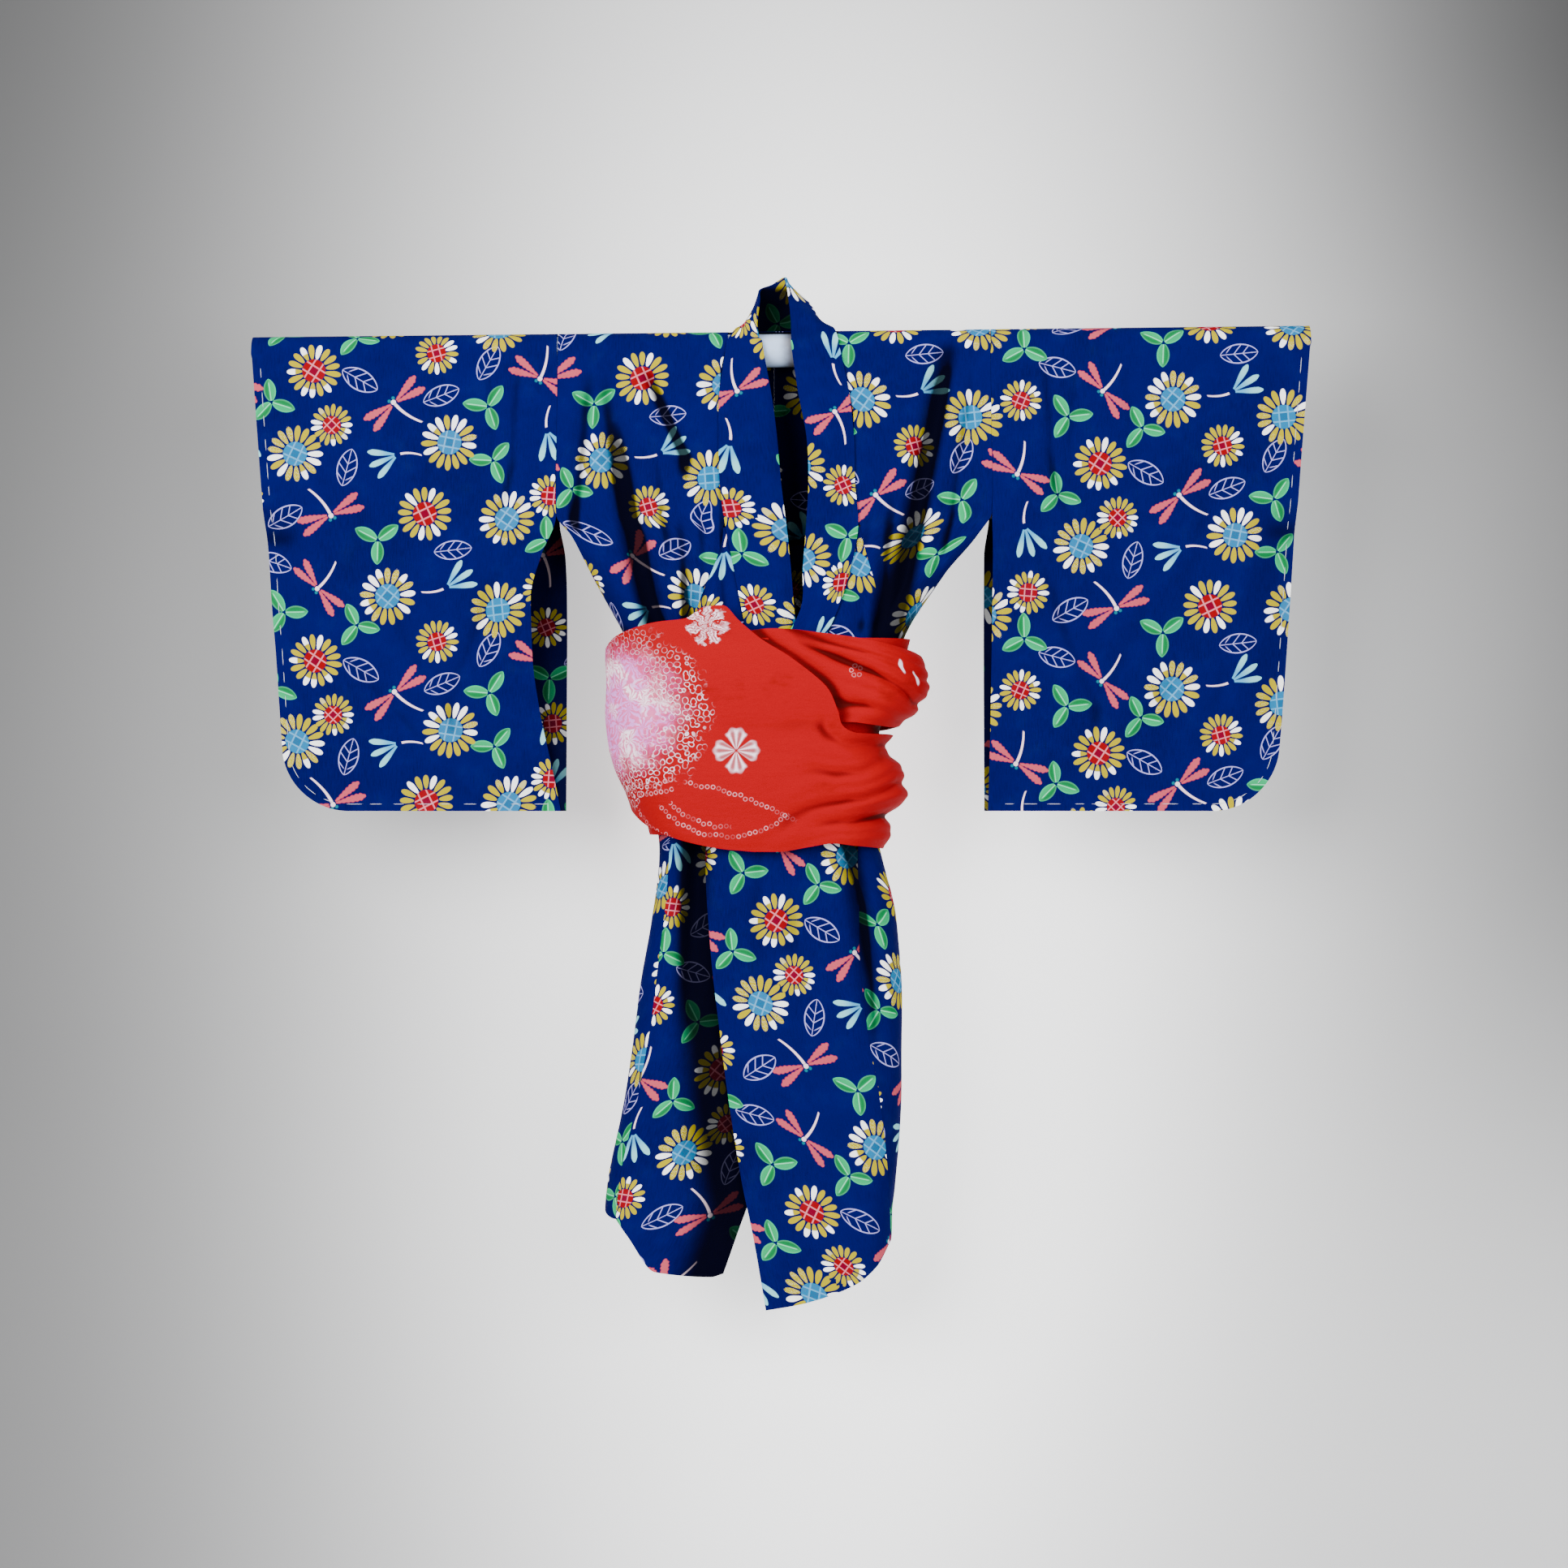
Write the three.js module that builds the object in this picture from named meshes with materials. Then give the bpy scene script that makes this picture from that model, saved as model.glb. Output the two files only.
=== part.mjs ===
// A child's yukata hung on a rod, with a wound sash.
// Millimetres. +Z up, the front faces -Y, the wearer's left is +X, the origin is the middle of the rod.
import * as THREE from "three";

// Driving sizes.
const clothWall = 1.4;
const collarWall = 2.2;
const sashWall = 1.6;
const seamGap = 0.3;
const rodRadius = 14;
const rodLength = 880;
const rodSlope = 0.011;
const foldSag = 0.6;
const foldRadius = rodRadius + clothWall + seamGap + foldSag;
const sleeveFoot = -392;
const sleeveCorner = 52;
const armholeFoot = -141;
const cuffFoot = -150;
const hemBack = -726;
const collarEnd = -327;
const okumiTop = -152;
const evenFoot = -712;
const rowFoot = -760;
const halfTurn = Math.PI / 2;
const normalStep = 0.01;

// The body's section at each height: a flat ring with round ends.
// left, right: where its ends reach. half: half its depth. crown: how much further its middle stands out.
// turn: how far a side edge has gone round the end, in quarter turns.
// shift: how far the side seam has moved to the back.
const bodyRows = [
  { z: -830, left: -150, right: 94, half: 27, crown: 0.16, turn: 1, shift: 70 },
  { z: -733, left: -150, right: 95, half: 27, crown: 0.16, turn: 1, shift: 70 },
  { z: -712, left: -148, right: 97, half: 27, crown: 0.16, turn: 1, shift: 70 },
  { z: -625, left: -131, right: 102, half: 28, crown: 0.18, turn: 1, shift: 70 },
  { z: -544, left: -120, right: 103, half: 28, crown: 0.2, turn: 1, shift: 66 },
  { z: -486, left: -111, right: 98, half: 28, crown: 0.22, turn: 1, shift: 60 },
  { z: -426, left: -104, right: 84, half: 28, crown: 0.24, turn: 1, shift: 48 },
  { z: -405, left: -106, right: 79, half: 28, crown: 0.24, turn: 1, shift: 42 },
  { z: -330, left: -124, right: 76, half: 28, crown: 0.14, turn: 1, shift: 26 },
  { z: -285, left: -128, right: 90, half: 29, crown: 0.12, turn: 1, shift: 14 },
  { z: -245, left: -133, right: 105, half: 31, crown: 0.06, turn: 1, shift: 3 },
  { z: -228, left: -141, right: 114, half: 32, crown: 0.04, turn: 0.94, shift: 0 },
  { z: -190, left: -168, right: 147, half: 30, crown: 0.02, turn: 0.56, shift: 0 },
  { z: -156, left: -200, right: 190, half: 27, crown: 0, turn: 0.14, shift: 0 },
  { z: -141, left: -216, right: 204, half: 26, crown: 0, turn: 0, shift: 0 },
  { z: -70, left: -211, right: 199, half: 21, crown: 0, turn: 0, shift: 0 },
  { z: 0, left: -205.7, right: 193.7, half: foldRadius, crown: 0, turn: 0, shift: 0 },
  { z: 20, left: -205.7, right: 193.7, half: foldRadius, crown: 0, turn: 0, shift: 0 },
];

// The front edges at each height, as X. The right side goes under the left below the sash's top edge.
const edgeRows = [
  { z: -830, okumiLeft: -10, seamLeft: 93.5, okumiRight: -66, seamRight: -143 },
  { z: -749, okumiLeft: -24, seamLeft: 93, okumiRight: -37, seamRight: -141 },
  { z: -706, okumiLeft: -33, seamLeft: 91, okumiRight: -22, seamRight: -137 },
  { z: -631, okumiLeft: -45, seamLeft: 83, okumiRight: -6, seamRight: -121 },
  { z: -577, okumiLeft: -52, seamLeft: 73, okumiRight: 4, seamRight: -111 },
  { z: -504, okumiLeft: -60, seamLeft: 66, okumiRight: 10, seamRight: -102 },
  { z: -432, okumiLeft: -64, seamLeft: 66, okumiRight: 12, seamRight: -95 },
  { z: -332, okumiLeft: -62, seamLeft: 66, okumiRight: 32, seamRight: -92 },
  { z: -245, okumiLeft: 4, seamLeft: 83, okumiRight: 12, seamRight: -78 },
  { z: -218, okumiLeft: 17, seamLeft: 82, okumiRight: 9, seamRight: -70 },
  { z: -152, okumiLeft: 21, seamLeft: 67, okumiRight: 3, seamRight: -49 },
  { z: -60, okumiLeft: 20, seamLeft: 60, okumiRight: -8, seamRight: -52 },
];

// The collar where it lies on the front, as X at each height: its free edge, its crease and its seam.
const collarRows = [
  { z: -332, freeLeft: -62, seamLeft: -24, freeRight: 32, creaseRight: 27, seamRight: -8 },
  { z: -285, freeLeft: -32, seamLeft: 8, freeRight: 22, creaseRight: 16, seamRight: -20 },
  { z: -245, freeLeft: 4, seamLeft: 38, freeRight: 12, creaseRight: 6, seamRight: -29 },
  { z: -218, freeLeft: 17, seamLeft: 49, freeRight: 10, creaseRight: 2, seamRight: -34 },
  { z: -192, freeLeft: 18, seamLeft: 57, freeRight: 8, creaseRight: -1, seamRight: -39 },
  { z: -152, freeLeft: 21, seamLeft: 65, freeRight: 4, creaseRight: -6, seamRight: -47 },
  { z: -112, freeLeft: 23, seamLeft: 62, freeRight: -1, creaseRight: -10, seamRight: -52 },
  { z: -59, freeLeft: 20, seamLeft: 61, freeRight: -6, creaseRight: -12, seamRight: -53 },
  { z: -20, freeLeft: 10, seamLeft: 53, freeRight: -12, creaseRight: -14, seamRight: -51 },
  { z: 8, freeLeft: 8.5, seamLeft: 48, freeRight: -18, creaseRight: -19, seamRight: -45 },
];

// The collar round the back of the neck, from the wearer's right over the peak to the left.
const neckStations = [
  { freeX: -20, freeY: -19, freeZ: 20, midX: -28, midY: -15, midZ: 19, seamX: -37, seamY: -8, seamZ: 17.8 },
  { freeX: -18, freeY: -9, freeZ: 41, midX: -25, midY: -2, midZ: 31, seamX: -31, seamY: 4, seamZ: 17.6 },
  { freeX: -17, freeY: 2, freeZ: 52, midX: -20, midY: 9, midZ: 36, seamX: -22, seamY: 9, seamZ: 17 },
  { freeX: -7, freeY: 7, freeZ: 57, midX: -8, midY: 15, midZ: 37, seamX: -9, seamY: 11, seamZ: 16.8 },
  { freeX: 2, freeY: 6, freeZ: 63, midX: 4, midY: 15, midZ: 39, seamX: 5, seamY: 11, seamZ: 16.8 },
  { freeX: 4, freeY: -3, freeZ: 57, midX: 16, midY: 6, midZ: 46, seamX: 20, seamY: 10, seamZ: 17 },
  { freeX: 6, freeY: -11, freeZ: 44, midX: 27, midY: -2, midZ: 33, seamX: 34, seamY: 5, seamZ: 17.6 },
  { freeX: 8, freeY: -18, freeZ: 24, midX: 28, midY: -16, midZ: 22, seamX: 43, seamY: -6, seamZ: 17.8 },
];

// Troughs in the front cloth: a line from top to foot, a bow to +X, a depth, and a width to -X and to +X.
const frontFolds = [
  { topX: 139, topZ: 22, footX: 94, footZ: -250, bow: 3, depth: 10, toLeft: 11, toRight: 5, grow: 0.45 },
  { topX: 92, topZ: -120, footX: 82, footZ: -250, bow: 0, depth: 6, toLeft: 7, toRight: 7, grow: 1 },
  { topX: -154, topZ: 10, footX: -104, footZ: -250, bow: -6, depth: 8, toLeft: 6, toRight: 9, grow: 1.2 },
  { topX: -88, topZ: -130, footX: -77, footZ: -250, bow: 0, depth: 6, toLeft: 6, toRight: 7, grow: 1 },
  { topX: 118, topZ: -175, footX: 104, footZ: -250, bow: 0, depth: 4, toLeft: 4, toRight: 5, grow: 1 },
  { topX: -82, topZ: -590, footX: -68, footZ: -400, bow: 0, depth: 9, toLeft: 9, toRight: 9, grow: 0.8 },
  { topX: 84, topZ: -600, footX: 60, footZ: -400, bow: 4, depth: 4, toLeft: 8, toRight: 6, grow: 0.8 },
];

// The sleeves' inner edges, front and back, and outer edge, as X at each height.
const sleeveRightRows = [
  { z: -400, front: -186, back: -183, outer: -420 },
  { z: -350, front: -196, back: -183, outer: -424 },
  { z: -307, front: -205, back: -183, outer: -427 },
  { z: -260, front: -211, back: -183, outer: -430 },
  { z: -210, front: -212, back: -183.5, outer: -434 },
  { z: -175, front: -203, back: -185, outer: -436 },
  { z: -141, front: -190.3, back: -190.3, outer: -439 },
  { z: 20, front: -190.3, back: -190.3, outer: -450 },
];
const sleeveLeftRows = [
  { z: -400, front: 176, back: 173, outer: 419 },
  { z: -307, front: 178, back: 173, outer: 427 },
  { z: -175, front: 179, back: 174, outer: 436 },
  { z: -141, front: 178.3, back: 178.3, outer: 438 },
  { z: 20, front: 178.3, back: 178.3, outer: 450 },
];

// The sash's outer form at each height.
const sashRows = [
  { z: -440, left: -100, right: 84, half: 39 },
  { z: -424, left: -108, right: 87, half: 41 },
  { z: -411, left: -118, right: 94, half: 43 },
  { z: -398, left: -124, right: 93, half: 44 },
  { z: -378, left: -131, right: 108, half: 46 },
  { z: -356, left: -141, right: 104, half: 47 },
  { z: -338, left: -146, right: 93, half: 47 },
  { z: -322, left: -148, right: 99, half: 47 },
  { z: -308, left: -149, right: 117, half: 48 },
  { z: -285, left: -148, right: 127, half: 49 },
  { z: -263, left: -149, right: 121, half: 48 },
  { z: -246, left: -148, right: 106, half: 46 },
  { z: -215, left: -138, right: 98, half: 44 },
];
const underRows = [
  { z: -412, left: -112, right: 84, half: 33 },
  { z: -330, left: -131, right: 83, half: 35 },
  { z: -290, left: -134, right: 98, half: 36 },
  { z: -246, left: -138, right: 110, half: 36 },
];
const sashCrown = 0.12;

// The sash's stretches, by turn: 0 is the middle of the front, +-1 the middle of the back.
const frontStretch = [
  { turn: -0.94, top: -250, foot: -404, lift: 3 },
  { turn: -0.7, top: -252, foot: -402, lift: 3 },
  { turn: -0.5, top: -254, foot: -392, lift: 1 },
  { turn: -0.4, top: -243, foot: -404, lift: 0 },
  { turn: -0.28, top: -233, foot: -417, lift: 0 },
  { turn: -0.2, top: -230, foot: -422, lift: 0 },
  { turn: -0.15, top: -220, foot: -424, lift: 0 },
  { turn: -0.1, top: -219, foot: -425, lift: 0 },
  { turn: -0.05, top: -231, foot: -426, lift: 0 },
  { turn: 0.03, top: -252, foot: -426, lift: 0 },
  { turn: 0.14, top: -285, foot: -422, lift: 0 },
  { turn: 0.22, top: -314, foot: -419, lift: 0 },
  { turn: 0.3, top: -326, foot: -421, lift: 0 },
  { turn: 0.5, top: -328, foot: -424, lift: 0 },
  { turn: 0.7, top: -331, foot: -414, lift: -2 },
  { turn: 1.12, top: -333, foot: -408, lift: -5 },
];
const upperStretch = [
  { turn: -0.12, top: -246, foot: -312, lift: -8 },
  { turn: 0.05, top: -238, foot: -316, lift: -8 },
  { turn: 0.16, top: -241, foot: -318, lift: -7 },
  { turn: 0.26, top: -245, foot: -317, lift: -4 },
  { turn: 0.33, top: -249, foot: -319, lift: -1 },
  { turn: 0.42, top: -256, foot: -321, lift: 0 },
  { turn: 0.5, top: -261, foot: -320, lift: 0 },
  { turn: 0.6, top: -257, foot: -323, lift: -1 },
  { turn: 0.8, top: -249, foot: -328, lift: -4 },
  { turn: 1.15, top: -250, foot: -330, lift: -5 },
];

// Troughs along the sash: down: where between its edges, 0 at the top. They deepen from start to full.
const frontSashFolds = [
  { down: 0.1, depth: 5, width: 0.05, start: -0.1, full: 0.34 },
  { down: 0.28, depth: 3, width: 0.06, start: -0.02, full: 0.4 },
  { down: 0.52, depth: 4, width: 0.06, start: -0.1, full: 0.42 },
  { down: 0.76, depth: 5, width: 0.05, start: 0.02, full: 0.4 },
];
const upperSashFolds = [
  { down: 0.24, depth: 4, width: 0.08, start: -0.02, full: 0.2 },
  { down: 0.54, depth: 6, width: 0.09, start: 0.02, full: 0.24 },
  { down: 0.86, depth: 4, width: 0.07, start: 0.1, full: 0.3 },
];

function clamp(value, low, high) {
  return Math.min(Math.max(value, low), high);
}

function mix(from, to, share) {
  return from + (to - from) * share;
}

// 0 below the start, 1 past the end, an even S between.
function ease(start, end, value) {
  const share = clamp((value - start) / (end - start), 0, 1);
  return share * share * (3 - 2 * share);
}

// A column of a table at any key: smooth, and never past its rows' own values.
function at(rows, key, column, value) {
  const last = rows.length - 1;
  const where = clamp(value, rows[0][key], rows[last][key]);
  let low = 0;
  while (low < last - 1 && rows[low + 1][key] <= where) {
    low += 1;
  }
  const slope = (i) => (rows[i + 1][column] - rows[i][column]) / (rows[i + 1][key] - rows[i][key]);
  const bend = (i) => {
    if (i === 0 || i === last) {
      return slope(i === 0 ? 0 : last - 1);
    }
    const before = slope(i - 1);
    const after = slope(i);
    return before * after > 0 ? (2 * before * after) / (before + after) : 0;
  };
  const step = rows[low + 1][key] - rows[low][key];
  const t = (where - rows[low][key]) / step;
  const rise = rows[low + 1][column] - rows[low][column];
  return (
    rows[low][column] +
    t * t * (3 - 2 * t) * rise +
    step * (t * (1 - t) * (1 - t) * bend(low) - t * t * (1 - t) * bend(low + 1))
  );
}

// A point on a flat ring with round ends, an arc length round it from the middle of its front.
function onRing(ring, arc, lift, z) {
  const straight = (ring.right - ring.left) / 2 - ring.half;
  const middle = (ring.right + ring.left) / 2;
  const way = Math.abs(arc);
  const side = Math.sign(arc) || 1;
  const radius = ring.half + lift;
  let x = way;
  let y = -radius;
  if (way > straight) {
    const angle = Math.min((way - straight) / ring.half, Math.PI);
    const past = Math.max(way - straight - Math.PI * ring.half, 0);
    x = straight + radius * Math.sin(angle) - past;
    y = -radius * Math.cos(angle);
  }
  const out = 1 + ring.crown * (1 - (x / (straight + ring.half)) ** 2);
  return [middle + side * x, y * out, z];
}

function ringAt(rows, z, crown) {
  return {
    left: at(rows, "z", "left", z),
    right: at(rows, "z", "right", z),
    half: at(rows, "z", "half", z),
    crown,
  };
}

// Heights above 0 are lengths of cloth up over the rod.
function heightOf(h) {
  return h > 0 ? foldRadius * Math.sin(h / foldRadius) : h;
}

function bodyRing(h) {
  const ring = ringAt(bodyRows, h, at(bodyRows, "z", "crown", h));
  if (h > 0) {
    const shrink = ring.half - foldRadius * Math.cos(h / foldRadius);
    ring.half -= shrink;
    ring.left += shrink;
    ring.right -= shrink;
  }
  return ring;
}

function straightOf(ring) {
  return (ring.right - ring.left) / 2 - ring.half;
}

// Arc length of a point on the front, from its X.
function arcOfX(ring, x) {
  const straight = straightOf(ring);
  const off = x - (ring.right + ring.left) / 2;
  const past = clamp((Math.abs(off) - straight) / ring.half, 0, 1);
  return Math.sign(off) * (Math.min(Math.abs(off), straight) + ring.half * Math.asin(past));
}

function sideArc(ring, z, back) {
  const turn = at(bodyRows, "z", "turn", z);
  const shift = at(bodyRows, "z", "shift", z);
  const quarter = ring.half * halfTurn;
  return straightOf(ring) + quarter * (back ? 2 - turn : turn) + shift + (back ? seamGap : -seamGap) / 2;
}

function backArc(ring) {
  return 2 * straightOf(ring) + Math.PI * ring.half - seamGap / 2;
}

function foldLift(folds, x, z) {
  let lift = 0;
  for (const fold of folds) {
    const along = (z - fold.topZ) / (fold.footZ - fold.topZ);
    if (along > 0) {
      const held = Math.min(along, 1);
      const line = mix(fold.topX, fold.footX, held) + fold.bow * 4 * held * (1 - held);
      const width = x < line ? fold.toLeft : fold.toRight;
      const fade = 1 - ease(1, 1.35, along);
      lift -= fold.depth * held ** fold.grow * fade * Math.exp(-(((x - line) / width) ** 2));
    }
  }
  return lift;
}

// The wearer's right side drops behind the left's free edge.
function underLift(x, z) {
  const edge = at(edgeRows, "z", "okumiLeft", z);
  return -6.5 * ease(-222, -246, z) * ease(edge - 30, edge - 6, x);
}

// The sash holds the cloth down where it is wound.
function held(z) {
  return 1 - 0.75 * (ease(-232, -250, z) - ease(-405, -424, z));
}

// Slants the rod, and what hangs near it.
function slant(point) {
  const share = clamp(1 + point[2] / -sleeveFoot, 0, 1);
  return [point[0], point[1], point[2] + rodSlope * point[0] * share];
}

function frontPoint(arc, h, under, extra = 0) {
  const z = heightOf(h);
  const ring = bodyRing(h);
  const flat = onRing(ring, arc, 0, z);
  const onFront = 1 - ease(straightOf(ring), straightOf(ring) + ring.half, Math.abs(arc));
  const taut = ease(4, -60, z);
  let lift = foldLift(frontFolds, flat[0], z) * onFront * taut * held(z);
  if (under) {
    lift += underLift(flat[0], z);
  }
  return slant(onRing(ring, arc, lift + extra, z));
}

function bodyPoint(x, h, under, extra) {
  return frontPoint(arcOfX(bodyRing(h), x), h, under, extra);
}

const clothMaterial = new THREE.MeshStandardMaterial({ color: 0x07187a, roughness: 0.85, metalness: 0 });
const sashMaterial = new THREE.MeshStandardMaterial({ color: 0xf00505, roughness: 0.7, metalness: 0 });
const rodMaterial = new THREE.MeshStandardMaterial({ color: 0xb9c9d8, roughness: 0.35, metalness: 0.3 });

// Even steps from 0 to 1.
function steps(count) {
  return Array.from({ length: count + 1 }, (_, i) => i / count);
}

// A closed wall: the grid's points, the same points moved in by the thickness, and strips round the edges.
function wall(name, material, pointAt, across, down, thickness, ringed = false) {
  const wide = across.length;
  const tall = down.length;
  const wrap = (i) => (i + wide) % wide;
  const spot = (u, v) => new THREE.Vector3(...pointAt(u, v));
  const grid = across.map((u) => down.map((v) => spot(u, v)));
  const stepU = (across[1] - across[0]) * normalStep;
  const stepV = (down[1] - down[0]) * normalStep;
  const inner = across.map((u, i) =>
    down.map((v, j) => {
      const alongU = spot(u + stepU, v).sub(spot(u - stepU, v));
      const alongV = spot(u, v + stepV).sub(spot(u, v - stepV));
      const normal = new THREE.Vector3().crossVectors(alongV, alongU).normalize();
      return grid[i][j].clone().addScaledVector(normal, -thickness);
    }),
  );
  const positions = [...grid.flat(), ...inner.flat()].flatMap((p) => [p.x, p.y, p.z]);
  const index = [];
  const half = wide * tall;
  const quad = (a, b, c, d) => index.push(a, b, c, a, c, d);
  const cells = ringed ? wide : wide - 1;
  for (let i = 0; i < cells; i += 1) {
    const here = i * tall;
    const next = wrap(i + 1) * tall;
    for (let j = 0; j < tall - 1; j += 1) {
      quad(here + j, here + j + 1, next + j + 1, next + j);
      quad(half + here + j, half + next + j, half + next + j + 1, half + here + j + 1);
    }
    quad(here, next, half + next, half + here);
    quad(here + tall - 1, half + here + tall - 1, half + next + tall - 1, next + tall - 1);
  }
  if (!ringed) {
    const end = (wide - 1) * tall;
    for (let j = 0; j < tall - 1; j += 1) {
      quad(j, half + j, half + j + 1, j + 1);
      quad(end + j, end + j + 1, half + end + j + 1, half + end + j);
    }
  }
  const geometry = new THREE.BufferGeometry();
  geometry.setAttribute("position", new THREE.Float32BufferAttribute(positions, 3));
  geometry.setIndex(index);
  geometry.computeVertexNormals();
  const mesh = new THREE.Mesh(geometry, material);
  mesh.name = name;
  return mesh;
}

// The panels' rows, as heights along the cloth: over the rod, to the okumi's top, then on to the hems.
const topEdge = foldRadius * halfTurn - seamGap;
const slantRows = [-736, rowFoot];
function panelRows(from) {
  const shoulder = [topEdge, topEdge * 0.66, topEdge * 0.33, 0, -38, -76, -114].filter((h) => h <= from);
  const skirt = steps(16).map((s) => mix(okumiTop, evenFoot, s));
  return [...shoulder, ...skirt, ...slantRows];
}

// Below the even rows the cloth runs on to its own hem.
function toHem(v, hem) {
  return v >= evenFoot ? v : mix(evenFoot, hem, (evenFoot - v) / (evenFoot - rowFoot));
}

// The neck's side of a front panel: along the collar's seam, then along the okumi's.
function frontInner(z, left) {
  const seam = at(edgeRows, "z", left ? "seamLeft" : "seamRight", z);
  const collar = at(collarRows, "z", left ? "seamLeft" : "seamRight", z);
  const side = left ? 1 : -1;
  const okumi = seam + (side * seamGap) / 2;
  const neck = collar + side * seamGap;
  return z > okumiTop + 1 ? neck : side * Math.max(side * okumi, side * neck);
}

function hemOfFront(left, u) {
  return left ? mix(-757, -730, ease(0, 0.35, u)) : mix(-737, -730, ease(0, 0.35, u));
}

// The front panels' fullness lies behind the sides: folds between the silhouette and the side seam.
const frontWidth = 150;
const sideFolds = 3;
const sideFullness = 1.75;
const tightestFold = 2;
const foldsStart = -250;
const foldsFull = -330;
const leastBehind = 0.35;
const frontColumns = 12;
const sideColumns = 9;
function sideFold(h, past, folded, width) {
  if (past <= 0) {
    return 0;
  }
  const wave = folded / sideFolds;
  const ratio = clamp((frontWidth - width + folded) / folded, 1, sideFullness);
  const full = (wave / 4) * Math.sqrt(ratio * ratio - 1);
  const round = wave ** 2 / (4 * Math.PI ** 2 * tightestFold);
  const depth = Math.min(full, round) * held(h) * ease(foldsStart, foldsFull, h);
  return -depth * (1 - Math.cos((2 * Math.PI * past) / wave));
}

function frontPanel(left) {
  const side = left ? 1 : -1;
  const all = frontColumns + sideColumns;
  const pointAt = (u, v) => {
    // the last columns lie on the folds, so the share of the width depends on the height
    const shareOf = (h) => {
      const ring = bodyRing(h);
      const start = side * arcOfX(ring, frontInner(h, left));
      const width = sideArc(ring, h, false) - start;
      const folded = at(bodyRows, "z", "shift", h);
      const behind = Math.max(folded, leastBehind * width);
      const column = u * all;
      const before = mix(0, width - behind, column / frontColumns);
      const after = mix(width - behind, width, (column - frontColumns) / sideColumns);
      return { ring, start, width, folded, way: column < frontColumns ? before : after };
    };
    const level = shareOf(Math.max(v, evenFoot));
    const h = toHem(v, hemOfFront(left, level.way / level.width));
    const cut = shareOf(h);
    const past = cut.way - cut.width + cut.folded;
    const fold = sideFold(h, past, Math.max(cut.folded, 1), cut.width);
    return frontPoint(side * (cut.start + cut.way), h, !left, fold);
  };
  const across = left ? steps(all) : steps(all).reverse();
  const name = left ? "front_left" : "front_right";
  return wall(name, clothMaterial, pointAt, across, panelRows(topEdge), clothWall);
}

// The back's fullness: folds deep enough to take up the cloth that the section is too short for.
const backWidth = 168;
const backFolds = 3;
const backFullness = 1.75;
const backFoldsFull = -120;
function backPanel(left) {
  const side = left ? 1 : -1;
  const pointAt = (u, v) => {
    const h = toHem(v, hemBack);
    const z = heightOf(h);
    const ring = bodyRing(h);
    const from = sideArc(ring, h, true);
    const to = backArc(ring);
    const ratio = clamp(backWidth / (to - from), 1, backFullness);
    const wave = (to - from) / backFolds;
    const depth = (wave / 4) * Math.sqrt(ratio * ratio - 1) * held(z) * ease(0, backFoldsFull, z);
    const fold = -depth * (1 - Math.cos(2 * Math.PI * backFolds * u));
    return slant(onRing(ring, side * mix(from, to, u), fold, z));
  };
  const across = left ? steps(15) : steps(15).reverse();
  const name = left ? "back_left" : "back_right";
  return wall(name, clothMaterial, pointAt, across, panelRows(topEdge), clothWall);
}

// The okumi: the wedge sewn to the front panel, with the collar on its upper slope and a free edge below.
const hemLeft = [
  { u: 0, z: -813 },
  { u: 0.32, z: -807 },
  { u: 0.7, z: -793 },
  { u: 0.89, z: -777 },
  { u: 1, z: -757 },
];
const hemRight = [
  { u: 0, z: -782 },
  { u: 0.1, z: -785 },
  { u: 0.62, z: -781 },
  { u: 0.9, z: -750 },
  { u: 1, z: -737 },
];
function okumi(left) {
  const side = left ? 1 : -1;
  const free = left ? "okumiLeft" : "okumiRight";
  const seam = left ? "seamLeft" : "seamRight";
  const pointAt = (u, v) => {
    const z = toHem(v, at(left ? hemLeft : hemRight, "u", "z", u));
    const edge = at(edgeRows, "z", free, z);
    const neck = at(collarRows, "z", seam, z) + side * seamGap;
    const start = z > collarEnd ? neck : mix(neck, edge, ease(collarEnd, collarEnd - 5, z));
    const end = at(edgeRows, "z", seam, z) - (side * seamGap) / 2;
    const width = Math.max(side * (end - start), 1.6);
    return frontPoint(arcOfX(bodyRing(z), end - side * width * (1 - u)), z, !left);
  };
  const across = left ? steps(6) : steps(6).reverse();
  const name = left ? "okumi_left" : "okumi_right";
  return wall(name, clothMaterial, pointAt, across, panelRows(okumiTop), clothWall);
}

// The collar: one doubled band from the right front, up round the neck, down the left front.
function collarStations() {
  const lying = (z, left) => {
    const free = at(collarRows, "z", left ? "freeLeft" : "freeRight", z);
    const seam = at(collarRows, "z", left ? "seamLeft" : "seamRight", z);
    const crease = left ? mix(free, seam, 0.5) : at(collarRows, "z", "creaseRight", z);
    const proud = 0.8 * ease(-240, -225, z);
    const turned = 3 * ease(-30, -70, z);
    return {
      free: bodyPoint(free, z, !left, left ? proud : proud - turned),
      mid: bodyPoint(crease, z, !left, proud + 0.8),
      seam: bodyPoint(seam, z, !left, 0.2),
      middleAt: left ? 0.5 : clamp((free - crease) / (free - seam), 0.1, 0.5),
    };
  };
  const heights = panelRows(topEdge * 0.4).filter((h) => h >= collarEnd).reverse();
  const neck = neckStations.map((s) => ({
    free: slant([s.freeX, s.freeY, s.freeZ]),
    mid: slant([s.midX, s.midY, s.midZ]),
    seam: slant([s.seamX, s.seamY, s.seamZ]),
    middleAt: 0.5,
  }));
  return [
    ...heights.map((z) => lying(z, false)),
    ...neck,
    ...heights.map((z) => lying(z, true)).reverse(),
  ];
}

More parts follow.
